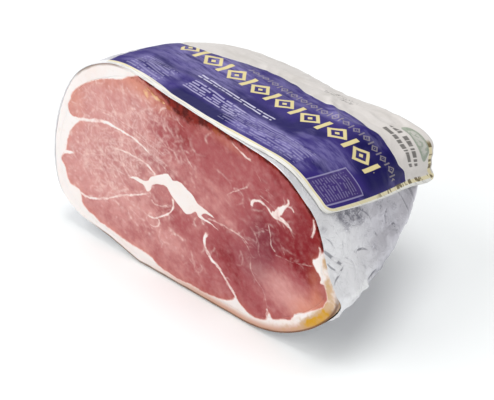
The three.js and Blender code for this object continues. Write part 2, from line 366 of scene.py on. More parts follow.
# Where the lean is redder than its slow change from left to right, or paler.
REDDER = [
    (36, 37, 24, 11, -40, 0.45), (66, 66, 18, 16, 0, 0.35), (94, 84, 14, 26, -10, 0.45),
    (-8, 50, 14, 9, -30, 0.3), (-14, 70, 14, 8, -35, 0.14), (60, 80, 20, 9, 0, 0.16),
    (96, 64, 12, 6, 0, 0.35), (-9, 108, 16, 9, -20, 0.3), (-20, 84, 26, 5, -28, 0.18),
    (-20, 100, 16, 12, 0, 0.1), (60, 16, 20, 7, 0, 0.1), (82, 41, 28, 17, -16, -0.66),
    (92, 32, 16, 9, 0, -0.2), (-8, 32, 30, 14, -15, -0.08), (10, 94, 30, 8, -25, -0.06),
    (0, 106, 34, 12, -8, 0.26), (44, 106, 22, 8, -10, 0.1), (30, 52, 12, 8, -30, 0.26),
    (16, 74, 22, 6, -20, -0.1), (62, 62, 12, 10, 0, 0.16), (20, 34, 12, 12, -60, 0.12),
    (-70, 24, 40, 10, -8, 0.12), (-30, 22, 40, 10, -8, 0.1),
]
VIOLET = [
    (62, 66, 13, 16, 10, 1.2), (48, 46, 16, 10, -35, 0.6), (-30, 84, 22, 6, -25, 0.35),
    (-60, 70, 30, 16, 0, 0.3), (60, 48, 8, 14, 0, 0.5),
]
ORANGE = [
    (-42, 131, 16, 5, -6, 0.8), (-30, 124, 14, 5, -15, 0.45), (30, 121, 14, 3, -8, 0.5),
    (-66, 123, 30, 6, 10, 0.35), (106, 45, 5, 10, 20, 1.0), (101, 60, 4, 5, 0, 0.5),
    (-100, 100, 9, 14, 0, 0.5), (97, 36, 12, 8, 35, 0.8),
]
# The dried edge of the lean under the top of the outline: across, its thickness, its strength.
DRIED_EDGE = [
    (-62, 0.1, 0), (-50, 0.9, 0.4), (-38, 1.5, 0.8), (-28, 2.4, 1.0), (-19, 4.8, 1.15), (-10, 8.4, 1.2),
    (-3, 9.6, 1.2), (4, 8.6, 1.2), (10, 5, 1.15), (18, 3.2, 1), (28, 3.4, 0.9), (42, 2.6, 0.85),
    (60, 2.2, 0.85), (80, 2.0, 0.9), (97, 2, 0.9), (106, 1.4, 0.6),
]
# Brown-orange and cream flecks by the dried edge: x, z, half-widths, turn, strength.
EMBERS = [
    (-48, 134, 9, 1.6, -4, 0.6), (-34, 131, 8, 2.2, -14, 0.7), (-24, 128, 4, 1.8, -20, 0.9),
    (-18, 125, 3, 2.0, -20, 1.0), (21, 125, 4, 2.2, -10, 1.0), (30, 125, 4, 1.2, -10, 0.7),
    (-12, 124, 3, 1.4, -20, 0.6), (46, 121, 6, 1.0, -12, 0.5),
]
GLOWS = [
    (-37, 128, 2.0, 3.6, 20, 0.9), (-28, 128, 2.8, 1.5, 0, 0.9), (-22, 127, 2, 1.0, 0, 0.7),
    (-43, 129, 2, 1.0, 30, 0.5), (-33, 130, 5, 0.8, -30, 0.5),
]
# Crimson zones: x, z, half-widths, turn, strength.
CRIMSON = [
    (90, 71, 11, 9, -30, 0.95), (84, 62, 16, 4, -4, 0.8), (98, 84, 5, 14, -8, 0.8),
    (102, 94, 5, 12, 24, 0.7), (66, 100, 9, 5, -20, 0.35), (98, 57, 4, 6, 30, 0.8),
    (106, 50, 2.2, 3, 0, 0.6), (60, 88, 12, 4, -30, 0.25), (-7, 73, 8, 5, -40, 0.3),
    (46, 20, 5, 10, -50, 0.3), (-20, 50, 8, 8, 0, 0.35), (20, 118, 30, 4, -6, 0.3),
    (70, 112, 26, 5, -35, 0.45), (-42, 74, 8, 3, -15, 0.3), (30, 60, 12, 5, -30, 0.25),
]
GOLD = [
    (105, 30, 12, 3.6, 38, 1.5), (113, 47, 7, 12, 0, 0.5), (108, 42, 4, 7, 0, 0.3),
    (112, 60, 3, 9, 12, 0.5), (103, 86, 2.2, 8, 6, 0.5), (108, 74, 2.2, 5, 0, 0.5),
    (90, 10, 16, 4, 20, 0.25), (80, 14, 12, 3, 20, 0.15), (112, 38, 6, 8, 20, 0.3),
]


# Which way the meat's grain runs: x, z, degrees above the horizontal.
GRAIN = [
    (-85, 112, -45), (-62, 106, -38), (-40, 116, -30), (-20, 106, -42), (-60, 90, -8), (-90, 72, -35),
    (-62, 70, -12), (-60, 50, 8), (-92, 48, 30), (-10, 92, -42), (10, 98, -30), (34, 102, -25),
    (62, 106, -30), (92, 88, -62), (22, 76, -25), (50, 80, -12), (80, 74, -48), (28, 48, -60),
    (50, 30, -60), (0, 34, -30), (-40, 26, -12), (-80, 25, 2), (82, 40, -32), (96, 60, -80),
]
# Where streaks of fat crowd in the lean.
MARBLED = [
    (-78, 64, 34, 22, 0, 1.0), (-36, 91, 34, 8, -18, 0.9), (-6, 96, 18, 10, -30, 0.75),
    (-76, 108, 32, 13, 20, 0.6), (-30, 114, 30, 10, -5, 0.6), (42, 112, 50, 8, -8, 0.3),
    (34, 86, 28, 12, -10, 0.45), (-34, 30, 50, 12, -8, 0.5), (70, 72, 28, 22, 0, 0.4),
    (-20, 52, 20, 10, 0, 0.3), (30, 45, 20, 20, 0, 0.35), (80, 36, 20, 12, 0, 0.2),
    (10, 62, 20, 6, -20, 0.5), (-50, 78, 22, 9, 0, 0.5),
]
CANVAS_LOW = np.array([-126.0, -4.0])
CANVAS_STEP = 0.3
CANVAS_SIZE = (500, 840)
FIBRE_CELLS = 7
SEAM_REACH = 8
# The dark tip of the rind at the low right corner: x, z, half-widths, turn, strength.
RIND_TIP = (118, 42, 4, 2.4, 60, 1.0)


def grain_angle(points):
    total = np.zeros(len(points), complex)
    for x, z, turn in GRAIN:
        gap = (points[:, 0] - x) ** 2 + (points[:, 1] - z) ** 2
        total += np.exp(2j * np.radians(turn)) / (gap + 120) ** 1.5
    return np.angle(total) / 2


def draw_streaks(canvas, starts, angles, lengths, bends, swings, halves, strengths, phases, steps=22):
    """Soft wavering short lines drawn onto a fine raster."""
    share = np.linspace(0, 1, steps)[None]
    wave = np.sin(2 * np.pi * (1.3 * share + phases[:, None]))
    heading = angles[:, None] + bends[:, None] * (share - 0.5) + swings[:, None] * wave
    stride = (lengths / steps)[:, None]
    x = starts[:, :1] + np.cumsum(np.cos(heading) * stride, axis=1)
    z = starts[:, 1:] + np.cumsum(np.sin(heading) * stride, axis=1)
    strength = strengths[:, None] * np.sin(np.pi * np.clip(share, 0.06, 0.94)) ** 0.8
    half = halves[:, None] * (0.6 + 0.4 * np.sin(np.pi * share))
    at = np.stack([x, z], 2)
    cell = np.round((at - CANVAS_LOW) / CANVAS_STEP).astype(int)
    reach = int(np.ceil(2.3 * halves.max() / CANVAS_STEP))
    for offset in np.ndindex(2 * reach + 1, 2 * reach + 1):
        here = cell + np.array(offset) - reach
        gap = np.linalg.norm(here * CANVAS_STEP + CANVAS_LOW - at, axis=2)
        value = strength * np.exp(-0.5 * (gap / half) ** 2)
        ok = (here >= 0).all(2) & (here[..., 1] < CANVAS_SIZE[0]) & (here[..., 0] < CANVAS_SIZE[1])
        np.maximum.at(canvas, (here[..., 1][ok], here[..., 0][ok]), value[ok])


def read_canvas(canvas, points):
    at = (points - CANVAS_LOW) / CANVAS_STEP
    base = np.clip(np.floor(at).astype(int), 0, [CANVAS_SIZE[1] - 2, CANVAS_SIZE[0] - 2])
    part = at - base
    column, row = base[:, 0], base[:, 1]
    lower = blend(canvas[row, column], canvas[row, column + 1], part[:, 0])
    upper = blend(canvas[row + 1, column], canvas[row + 1, column + 1], part[:, 0])
    return blend(lower, upper, part[:, 1])


# Kinds of streak: how many, evenness, shortest and longest, half-widths, strengths, swing.
STREAK_KINDS = [
    (90, 0.04, (2.5, 7), (0.24, 0.36), (0.12, 0.4), 0.5),
    (210, 0.02, (3, 9), (0.5, 0.8), (0.25, 0.85), 0.8),
    (260, 0.12, (0.4, 2), (0.42, 0.85), (0.25, 0.8), 0.3),
]
LEFT_LOBE = [(-78, 62, 34, 20, 0, 1.0)]
# Veins that branch: x, z, heading in degrees, length, strength.
VEIN_ROOTS = [
    (-49, 62, 172, 40, 0.9), (-44, 66, 150, 30, 0.8), (-38, 78, 160, 38, 0.85), (-52, 79, 190, 34, 0.8),
    (-66, 77, 176, 34, 0.7), (-60, 70, 200, 30, 0.7), (-40, 90, 168, 40, 0.8), (-56, 92, 200, 26, 0.7),
    (-70, 90, 216, 28, 0.6), (-86, 88, 250, 24, 0.6), (-80, 62, 150, 24, 0.7), (-92, 52, 60, 22, 0.6),
    (-70, 52, 120, 22, 0.7), (-86, 36, 100, 18, 0.6), (-60, 46, 110, 20, 0.6), (-100, 60, 20, 20, 0.6),
    (-18, 84, 150, 30, 0.8), (-8, 92, 160, 36, 0.7), (-30, 88, 120, 14, 0.7), (-22, 94, 40, 14, 0.6),
    (-50, 98, 120, 18, 0.6), (-66, 100, 130, 18, 0.6), (-80, 98, 100, 16, 0.5), (-36, 104, 130, 16, 0.5),
    (-92, 112, 300, 16, 0.5), (-74, 124, 290, 20, 0.5), (-54, 126, 300, 22, 0.45), (-90, 100, 60, 14, 0.45),
    (-13, 58, 230, 10, 0.6), (-30, 44, 210, 12, 0.6), (-22, 36, 240, 12, 0.5), (-50, 40, 320, 12, 0.5),
    (4, 32, 300, 14, 0.6), (12, 26, 320, 12, 0.5), (24, 44, 250, 10, 0.5), (40, 62, 10, 16, 0.5),
    (54, 70, 300, 16, 0.5), (62, 74, 200, 12, 0.5), (76, 70, 330, 10, 0.4), (44, 52, 300, 14, 0.45),
    (-2, 112, 320, 14, 0.4), (22, 100, 330, 16, 0.4), (36, 92, 40, 14, 0.5), (50, 84, 20, 12, 0.5),
]


MORE_VEINS = 70


def vein_starts(rng):
    """The listed veins and more at random where the lean is marbled."""
    made = [(x, z, np.radians(turn), length, 0.5, strength) for x, z, turn, length, strength in VEIN_ROOTS]
    spread = rng.uniform([-114, 8], [20, 132], size=(2400, 2))
    crowd = np.clip(wide_marks(spread, MARBLED), 0.02, 1)
    kept = spread[np.argsort(rng.random(len(spread)) / crowd)[:MORE_VEINS]]
    headings = grain_angle(kept) + rng.normal(0, 0.5, len(kept)) + np.pi
    for (x, z), heading in zip(kept, headings):
        length = rng.uniform(5, 14)
        half = rng.uniform(0.5, 0.75)
        made.append((x, z, heading, length, half, rng.uniform(0.5, 0.95)))
    return made


def veins():
    """Wandering lines that fork, as short steps: starts, headings, half-widths, strengths."""
    rng = np.random.default_rng(74)
    waiting = vein_starts(rng)
    made = []
    while waiting:
        x, z, heading, length, half, strength = waiting.pop()
        bend = rng.normal(0, 0.05)
        for step in range(int(length)):
            left = 1 - step / length
            fading = strength * rng.uniform(0.4, 1.3) * (0.45 + 0.55 * left)
            made.append((x, z, heading, half * (0.6 + 0.4 * left), fading))
            if rng.random() < 0.13 and length > 7:
                side = rng.choice([-1, 1]) * rng.uniform(0.5, 1.0)
                reach = length * rng.uniform(0.25, 0.5)
                waiting.append((x, z, heading + side, reach, half * 0.8, strength * 0.8))
            bend = 0.8 * bend + rng.normal(0, 0.10)
            heading += bend
            x += np.cos(heading)
            z += np.sin(heading)
    return np.array(made)


def scattered_streaks(rng, canvas):
    """Short streaks of fat along the grain, and some across it, mostly where the lean is marbled."""
    for count, even_share, length, width, strong, swing in STREAK_KINDS:
        spread = rng.uniform([-118, 4], [112, 138], size=(count * 9, 2))
        crowd = np.clip(even_share + wide_marks(spread, MARBLED), 0, 1)
        kept = np.argsort(rng.random(len(spread)) / np.maximum(crowd, 1e-3))[:count]
        starts, crowd = spread[kept], crowd[kept]
        curly = wide_marks(starts, LEFT_LOBE)
        angles = grain_angle(starts) + rng.normal(0, 0.35, count) + curly * rng.normal(0, 0.7, count)
        across = rng.random(count) < 0.14 + 0.25 * curly
        angles = angles + across * np.pi * rng.uniform(0.3, 0.6, count)
        strengths = rng.uniform(*strong, count) ** 1.2 * (0.55 + 0.45 * crowd)
        strengths *= 1 - 0.72 * smooth(starts[:, 0], -30, 30)
        draw_streaks(canvas, starts, angles, rng.uniform(*length, count), rng.normal(0, 0.6 + 1.2 * curly),
                     swing * rng.normal(0, 0.5, count), rng.uniform(*width, count), strengths,
                     rng.random(count))


def twigs(rng, canvas):
    """Short streaks that leave the seams."""
    for line, _, _, strength in SEAMS:
        curve = even(spline(line, 6), 40)
        length = np.linalg.norm(np.diff(curve, axis=0), axis=1).sum()
        count = max(int(length / 6), 1)
        pick = rng.integers(1, 38, count)
        along = curve[pick + 1] - curve[pick - 1]
        turn = np.arctan2(along[:, 1], along[:, 0])
        turn = turn + rng.choice([-1, 1], count) * rng.uniform(0.3, 1.0, count)
        draw_streaks(canvas, curve[pick], turn, rng.uniform(2, 8, count), rng.normal(0, 0.8, count),
                     rng.normal(0, 0.4, count), rng.uniform(0.25, 0.5, count),
                     rng.uniform(0.25, 0.7, count) * strength, rng.random(count))


def marbling():
    """All the fine fat of the cut on one raster: streaks, twigs at the seams and forking veins."""
    rng = np.random.default_rng(71)
    canvas = np.zeros(CANVAS_SIZE)
    scattered_streaks(rng, canvas)
    twigs(rng, canvas)
    steps = veins()
    still = np.zeros(len(steps))
    draw_streaks(canvas, steps[:, :2], steps[:, 2], still + 2.2, still, still, steps[:, 3], steps[:, 4],
                 rng.random(len(steps)), steps=8)
    return canvas


def cells(x, z):
    """The raster cells nearest to places that are counted in cells."""
    rows, columns = CANVAS_SIZE
    return np.clip(np.round(z).astype(int), 0, rows - 1), np.clip(np.round(x).astype(int), 0, columns - 1)


def fibres():
    """Random specks smeared along the meat's grain, from about -1 to 1."""
    rng = np.random.default_rng(72)
    rows, columns = CANVAS_SIZE
    specks = rng.normal(size=CANVAS_SIZE)
    specks = sum(np.roll(specks, (i, j), (0, 1)) for i, j in np.ndindex(3, 3))
    row, column = np.mgrid[0:rows, 0:columns]
    points = np.stack([column.ravel(), row.ravel()], 1) * CANVAS_STEP + CANVAS_LOW
    angle = grain_angle(points).reshape(CANVAS_SIZE)
    step_x, step_z = np.cos(angle), np.sin(angle)
    total = specks.copy()
    for way in (-1, 1):
        x, z = column.astype(float), row.astype(float)
        for _ in range(FIBRE_CELLS):
            here = cells(x, z)
            x += way * step_x[here]
            z += way * step_z[here]
            total += specks[cells(x, z)]
    return np.clip(total / total.std() / 2.6, -1, 1)


def seam_fat(points, moved, flat):
    """How much fat the seams between the muscles give each point."""
    fat = np.zeros(len(points))
    for line, width_start, width_end, strength in SEAMS:
        curve = spline(line, 6)
        low, high = curve.min(0) - SEAM_REACH, curve.max(0) + SEAM_REACH
        near = np.flatnonzero(((points > low) & (points < high)).all(1))
        gap, share = to_line(moved[near], curve)
        wobble = 0.85 + 0.9 * Noise(13).layered(flat[near], 6, 3)
        half = np.maximum(blend(width_start, width_end, share) * wobble / 2, 0.1)
        broken = 0.8 + 0.5 * Noise(12).layered(flat[near] + 50, 7, 2)
        ends = smooth(share, 0, 0.06) * (1 - smooth(share, 0.9, 1))
        mark = strength * np.clip(broken, 0.25, 1) * (1 - smooth(gap, half - 0.4, half + 0.65))
        mark *= 0.3 + 0.7 * ends
        mark = np.maximum(mark, 0.22 * strength * np.exp(-(gap / (half + 1.3)) ** 2))
        fat[near] = np.maximum(fat[near], mark)
    return fat


def rind_at(points, skin, flat):
    """The brown line of rind along the outline, darkest at the top left and below."""
    rind = 1 - smooth(skin + 0.5 * Noise(13).layered(flat, 12, 2), 0.9, 1.7)
    top_left = smooth(points[:, 1], 112, 122) * (1 - smooth(points[:, 0], -66, -50))
    low = smooth(points[:, 0], -92, -70) * (1 - smooth(points[:, 1], 46, 60))
    rind *= np.maximum(low, 0.8 * top_left)
    rind += 0.9 * wide_marks(points, [RIND_TIP])
    return np.clip(rind, 0, 1)


def dried_at(points, from_edge):
    """The dried edge and the redder lean beside it, by the distance from the outline."""
    across, thick, strength = np.array(DRIED_EDGE).T
    thick = np.interp(points[:, 0], across, thick)
    strength = np.interp(points[:, 0], across, strength) * smooth(points[:, 1], 66, 80)
    dried = strength * np.exp(-(from_edge / np.maximum(thick, 0.3)) ** 2.2)
    halo = strength * np.exp(-(from_edge / np.maximum(1.7 * thick + 1.2, 0.3)) ** 1.6)
    return np.clip(dried, 0, 1), np.clip(halo, 0, 1)


def cut_fields(points, outline):
    """What the cut shows at each of its points (x, z)."""
    flat = np.stack([points[:, 0], np.zeros(len(points)), points[:, 1]], 1)
    noises = Noise(11), Noise(12)
    warp = np.stack([noise.layered(flat, 9) for noise in noises], 1)
    fine = np.stack([noise.layered(flat, 3.4, 2) for noise in noises], 1)
    moved = points + 0.9 * warp + 0.4 * fine
    border = depth_in(moved, even(spline(LEAN_EDGE, 6, closed=True), 500, closed=True))
    patch = depth_in(moved, even(spline(PATCH, 5, closed=True), 240, closed=True))
    fat = np.maximum(1 - smooth(border, -1.2, 1.3), seam_fat(points, moved, flat))
    fat = np.maximum(fat, 0.97 * smooth(patch, -0.5, 0.5))
    skin = depth_in(points, outline)
    dried, halo = dried_at(points, np.maximum(skin + 1.3 * warp[:, 1] + 0.9 * fine[:, 1], 0))
    x, z = points.T
    red = 0.16 + 0.34 * smooth(x, -75, 30) + 0.34 * smooth(x, 20, 100)
    red += wide_marks(points, REDDER) + 0.07 * warp[:, 0]
    orange = wide_marks(points, ORANGE) + 0.4 * np.exp(-np.maximum(border, 0) / 2.2)
    marbled = np.clip(wide_marks(points, MARBLED), 0, 1) * (1 - smooth(x, -30, 20))
    return {
        "fat": fat,
        "red": np.clip(red, 0, 1.2),
        "violet": np.clip(wide_marks(points, VIOLET), 0, 1),
        "orange": np.clip(orange, 0, 1),
        "blush": (1 - smooth(skin, 2, 7.5)) * smooth(x, -50, 30) * (1 - smooth(z, 30, 50)),
        "mottled": 0.06 + 0.24 * marbled,
        "dried": dried,
        "ember": np.clip(wide_marks(points, EMBERS), 0, 1),
        "glow": np.clip(wide_marks(points, GLOWS), 0, 1),
        "halo": halo,
        "crimson": np.clip(wide_marks(points, CRIMSON) * (1 + 0.4 * warp[:, 0]), 0, 1),
        "fibre": 0.5 + 0.5 * read_canvas(FIBRES, points),
        "gold": np.clip(wide_marks(points, GOLD) * (1 + 0.5 * fine[:, 0]), 0, 1),
        "rind": rind_at(points, skin, flat),
        "streaks": np.clip(read_canvas(STREAKS, points), 0, 1),
    }


STREAKS = marbling()
FIBRES = fibres()


def cut_relief(points, fat, outline):
    """How far the cut stands back (+) or out at each point: seams a little proud, edges rounded."""
    flat = np.stack([points[:, 0], np.zeros(len(points)), points[:, 1]], 1)
    wave = Noise(21).layered(flat, 34, 3)
    skin = depth_in(points, outline)
    top_right = smooth(points[:, 1], 40, 90) * smooth(points[:, 0], -60, -30)
    rounded = (0.3 + 0.5 * top_right) * (1 - smooth(skin, 0, 1.9)) ** 2
    return 0.45 * wave - 0.16 * fat + rounded + 0.3


def hex_points(polygon, pitch, margin):
    """Evenly spread points inside a polygon."""
    low, high = polygon.min(0), polygon.max(0)
    rows = np.arange(low[1], high[1], pitch * 0.866)
    columns = np.arange(low[0], high[0], pitch)
    shifts = np.arange(len(rows)) % 2 * pitch / 2
    spread = [np.stack([columns + shift, np.full_like(columns, z)], 1) for shift, z in zip(shifts, rows)]
    points = np.concatenate(spread)
    return points[depth_in(points, polygon) > margin]


# How far the lean stands out past the outline where it has no fat.
BARE_OUT = 0.45
CUT_PITCH = 0.56
FAT_LAYERS = 15


def fill_hidden(fields, count):
    """The fields with plain values for points that the cut doesn't show."""
    return {key: np.r_[values, np.zeros(count)] for key, values in fields.items()}


def ring_faces(first, second, count):
    """Faces between two rings of points, by the number of each ring's first point."""
    return [[first + i, first + (i + 1) % count, second + (i + 1) % count, second + i] for i in range(count)]


def cap_faces(ring, tip, count, inward=False):
    """Triangles from a ring of points to one point behind it."""
    made = [[ring + i, ring + (i + 1) % count, tip] for i in range(count)]
    return [[second, first, last] for first, second, last in made] if inward else made


def cut_front(points, fields, skin_line):
    relief = cut_relief(points, fields["fat"], skin_line)
    return np.stack([points[:, 0], CUT_Y + relief, points[:, 1]], 1)


def make_lean(outline, skin_line):
    """The lean: a dense cut face, and a plain back that the fat and the foil hide."""
    thick = outline[:, 2]
    inner = grown(outline, BARE_OUT * (1 - smooth(thick, 0, 1)) - thick)
    inner[:, 1] += HAM_BOTTOM
    points = np.vstack([inner, hex_points(inner, CUT_PITCH, 0.3)])
    count = len(inner)
    edges = [(i, (i + 1) % count) for i in range(count)]
    result = delaunay_2d_cdt([Vector(p) for p in points], edges, [], 1, 1e-6)
    points = np.array([tuple(p) for p in result[0]])
    if len(points) < count:
        raise RuntimeError("the cut face lost points")
    # A face of the triangulation runs anticlockwise in x and z, so it looks along -Y already.
    faces = [list(face) for face in result[2]]
    fields = cut_fields(points, skin_line)
    front = cut_front(points, fields, skin_line)
    rings = body(outline, -thick - 0.2, stations(14, 0.97)[1:], HAM_DEPTH - 8, HAM_BOTTOM + 0.4)
    rows = rings.reshape(-1, 3)
    start = len(front)
    tip = start + len(rows)
    faces += sheet_faces(len(rings), count, True, start)
    faces += ring_faces(0, start, count)
    faces += cap_faces(tip - count, tip, count)
    vertices = np.vstack([front, rows, rings[-1].mean(0)[None]])
    return new_piece("lean_meat", vertices, faces, fill_hidden(fields, len(vertices) - start))


def skin_colours(fields, vertices, rows):
    """The colours of the fat's outer skin: rind, with gold near the cut."""
    x, y, z = vertices[rows].T
    fields["rind"][rows] = 0.75 * (1 - smooth(x, 96, 108) * smooth(z, 34, 44))
    fields["gold"][rows] = 0.6 * (1 - smooth(y - CUT_Y, 4, 14))


def make_fat(outline, skin_line):
    """The fat cover: a dense band of cut fat, and its outer and inner skins behind it."""
    thick = outline[:, 2]
    has = thick > 0.12
    count = len(outline)
    first = next(i for i in range(count) if has[i] and not has[i - 1])
    order = [(first + k) % count for k in range(int(has.sum()))]
    wide = len(order)
    inner = grown(outline, -thick)[order]
    share = np.linspace(0, 1, FAT_LAYERS)[:, None, None]
    flat = blend(outline[order][None, :, :2], inner[None], share)
    flat[..., 1] += HAM_BOTTOM
    points = flat.reshape(-1, 2)
    fields = cut_fields(points, skin_line)
    front = cut_front(points, fields, skin_line)
    depths = stations(40, 0.995)[1:]
    outer_rows = body(outline, 0.0, depths, HAM_DEPTH, HAM_BOTTOM)[:, order]
    inner_rows = body(outline, -thick, depths, HAM_DEPTH - 6, HAM_BOTTOM + 0.2)[:, order]
    outer_start = len(front)
    inner_start = outer_start + len(depths) * wide
    edge = outer_start - wide
    last = inner_start - wide
    last_in = last + len(depths) * wide
    faces = sheet_faces(FAT_LAYERS, wide, False, 0, inward=True)
    faces += sheet_faces(len(depths), wide, False, outer_start)
    faces += [[i, i + 1, outer_start + i + 1, outer_start + i] for i in range(wide - 1)]
    faces += sheet_faces(len(depths), wide, False, inner_start, inward=True)
    faces += [[edge + i, inner_start + i, inner_start + i + 1, edge + i + 1] for i in range(wide - 1)]
    faces += [[last + i, last + i + 1, last_in + i + 1, last_in + i] for i in range(wide - 1)]
    vertices = np.vstack([front, outer_rows.reshape(-1, 3), inner_rows.reshape(-1, 3)])
    fields = fill_hidden(fields, len(vertices) - outer_start)
    fields["fat"][outer_start:] = 1.0
    skin_colours(fields, vertices, slice(outer_start, inner_start))
    return new_piece("fat_cover_cut", vertices, faces, fields)


# The foil


def crumpled(points, seed):
    """Creases of a crinkled foil: flat facets between sharp folds."""
    first, second = Noise(seed), Noise(seed + 1)
    moved = points + 3.0 * np.stack([second(points + shift, 22) for shift in (0, 40, 90)], 1)
    large = 1 - 2.4 * np.abs(first(moved, 26))
    middle = 1 - 2.4 * np.abs(second(moved, 11))
    small = 1 - 2.4 * np.abs(first(moved + 300, 5.5))
    return 0.62 * large + 0.28 * middle + 0.12 * small


# Folds of the foil on the ham's right side: points as depth and height, rise, half-width.
FOIL_FOLDS = [
    ([(-1, 83), (4, 77.5), (8.3, 72.7), (13.5, 67.5)], -1.2, 1.0),
    ([(0, 75), (2.8, 71), (6.5, 67)], -0.75, 0.7), ([(0.5, 61), (5, 64), (9, 66), (14, 68)], -0.8, 0.7),
    ([(1.5, 90), (5.6, 85.3), (9, 79)], -0.55, 0.6), ([(9, 95), (14, 88), (16, 80), (14, 74)], -0.6, 0.6),
    ([(20, 95), (22, 88), (22, 80), (18, 73)], -0.6, 0.7),
    ([(14, 73), (18, 70), (21, 66), (20, 60), (15, 56)], -0.55, 0.6),
    ([(4, 89), (10, 84), (8, 77)], 0.9, 3.5), ([(16, 90), (19, 84), (17, 77)], 0.7, 2.2),
    ([(24, 71), (27, 70.6), (32.7, 69.4), (38, 66)], -0.75, 0.8),
    ([(26, 66), (27, 70), (30, 72)], -0.7, 0.9), ([(24, 89), (30, 84.5), (38, 83)], -0.5, 0.6),
    ([(33, 95), (40, 90), (46, 84), (47, 77)], -0.6, 0.7), ([(31, 51), (36, 53), (42, 54)], -0.7, 1.2),
    ([(68, 80), (63, 76), (63.5, 71)], -0.7, 0.8), ([(67, 70), (70, 67.5), (73, 63)], -0.9, 1.0),
    ([(48, 74), (49.5, 69)], -0.6, 0.8), ([(57, 80), (61, 82), (64, 86)], -0.6, 0.7),
    ([(29, 64), (31, 58)], -0.45, 0.7), ([(22, 66), (26, 60), (24, 54)], 0.7, 2.5),
    ([(30, 80), (35, 74), (36, 64)], 0.6, 3.0), ([(46, 84), (52, 70), (50, 58)], 0.9, 3.5),
    ([(60, 84), (68, 70), (70, 60)], 0.7, 2.6), ([(76, 82), (84, 72), (86, 62)], 0.8, 3.0),
    ([(96, 84), (100, 76), (98, 66)], -0.6, 1.6), ([(82, 86), (88, 74), (84, 60)], -0.6, 1.1),
]
# Tabs of film that stick out along the low edge: depth, height, half-widths, turn, reach.
FOIL_TABS = [(25, 52, 3.2, 3.0, 0, 3.4), (17, 51, 3.0, 2.4, 0, 1.8), (8, 51, 3, 2, 0, 1.2)]
# Where the foil is finely crumpled in its form and darkened with painted shade: depth, height, half-widths,
# turn, strength.
FOIL_CRUMPLE_AND_SHADE = [
    (27, 93, 12, 5, -16, 1.3), (38, 88, 9, 6, -20, 0.9), (44, 66, 5, 4, 0, 0.5), (66, 70, 4, 6, 20, 0.4),
    (24, 86, 3, 4, 0, 0.6), (96, 72, 5, 10, 0, 0.4), (3, 93, 4, 3, -30, 0.5), (60, 84, 6, 3, 0, 0.5),
]
# Where the foil is darkened with soft painted shade.
FOIL_SHADE_MARKS = [
    (47, 50, 15, 7, 6, 1.3), (30, 92, 16, 7, -16, 0.4), (66, 72, 9, 16, 0, 0.3), (52, 72, 6, 10, 0, 0.3),
    (90, 74, 22, 22, 0, 0.2), (30, 62, 8, 5, 0, 0.25), (10, 60, 14, 8, 0, 0.15), (34, 76, 14, 6, 0, 0.15),
]


FOIL_COLUMNS = 520
FOIL_ROWS = 150
FOIL_OUT = 0.55
FOIL_FLOOR = 0.35
FOIL_LAST = 0.9995
DENSE_OUTLINE = 4000
DENSE_STATIONS = 2000
# How far creases may press the foil inwards, and how far they may lift it.
FOIL_INWARD = 0.36
FOIL_OUTWARD = 1.1
LOWEST_SKIN = 0.06
LOWEST_WALL = 0.3


def fold_shape(points, line, rise, half, end):
    """How far one fold, a rounded ridge that fades at its ends, moves each point."""
    gap, share = to_line(points, spline(line, 8))
    fading = np.sin(np.pi * np.clip(share, end, 1 - end)) ** 0.5
    return rise * fading * np.exp(-(gap / half) ** 2)


def folded(base, folds):
    """How far folds drawn on the right side move the foil, and how deep their grooves are."""
    flat = base.reshape(-1, 3)
    moved = np.zeros(len(flat))
    groove = np.zeros(len(flat))
    near = np.flatnonzero(flat[:, 0] > 66)
    side = np.stack([flat[near, 1] - CUT_Y, flat[near, 2]], 1)
    for line, rise, half in folds:
        move = fold_shape(side, line, rise, half, 0.03)
        moved[near] += move
        groove[near] = np.maximum(groove[near], -move)
    return moved.reshape(base.shape[:2]), groove.reshape(base.shape[:2])


def crowded(rows, crowd, count, closed=False):
    """Rows picked out of a dense list, closer together where crowd is high."""
    run = np.cumsum(crowd)
    marks = np.linspace(run[0], run[-1], count, endpoint=not closed)
    return rows[np.searchsorted(run, marks)]


def noise_on(base, seed, size, layers):
    """Layered noise at each point of a grid."""
    return Noise(seed).layered(base.reshape(-1, 3), size, layers).reshape(base.shape[:2])


def foil_grid():
    """Points of the foil's smooth form, closest together on the right and near the cut."""
    dense = cut_outline(DENSE_OUTLINE)
    outline = crowded(dense, 1 + 2.6 * smooth(dense[:, 0], 50, 80), FOIL_COLUMNS, closed=True)
    dense = stations(DENSE_STATIONS, FOIL_LAST)
    shares = crowded(dense, 1 + 1.4 * (1 - smooth(dense * HAM_DEPTH, 36, 70)), FOIL_ROWS)
    return body(outline, FOIL_OUT, shares, HAM_DEPTH + FOIL_OUT, FOIL_FLOOR)


def side_marks(base, depth, marks):
    """Soft marks on the foil's right side, placed by depth and height."""
    side = np.stack([depth.ravel(), base[..., 2].ravel()], 1)
    return wide_marks(side, marks).reshape(depth.shape) * smooth(base[..., 0], 60, 80)


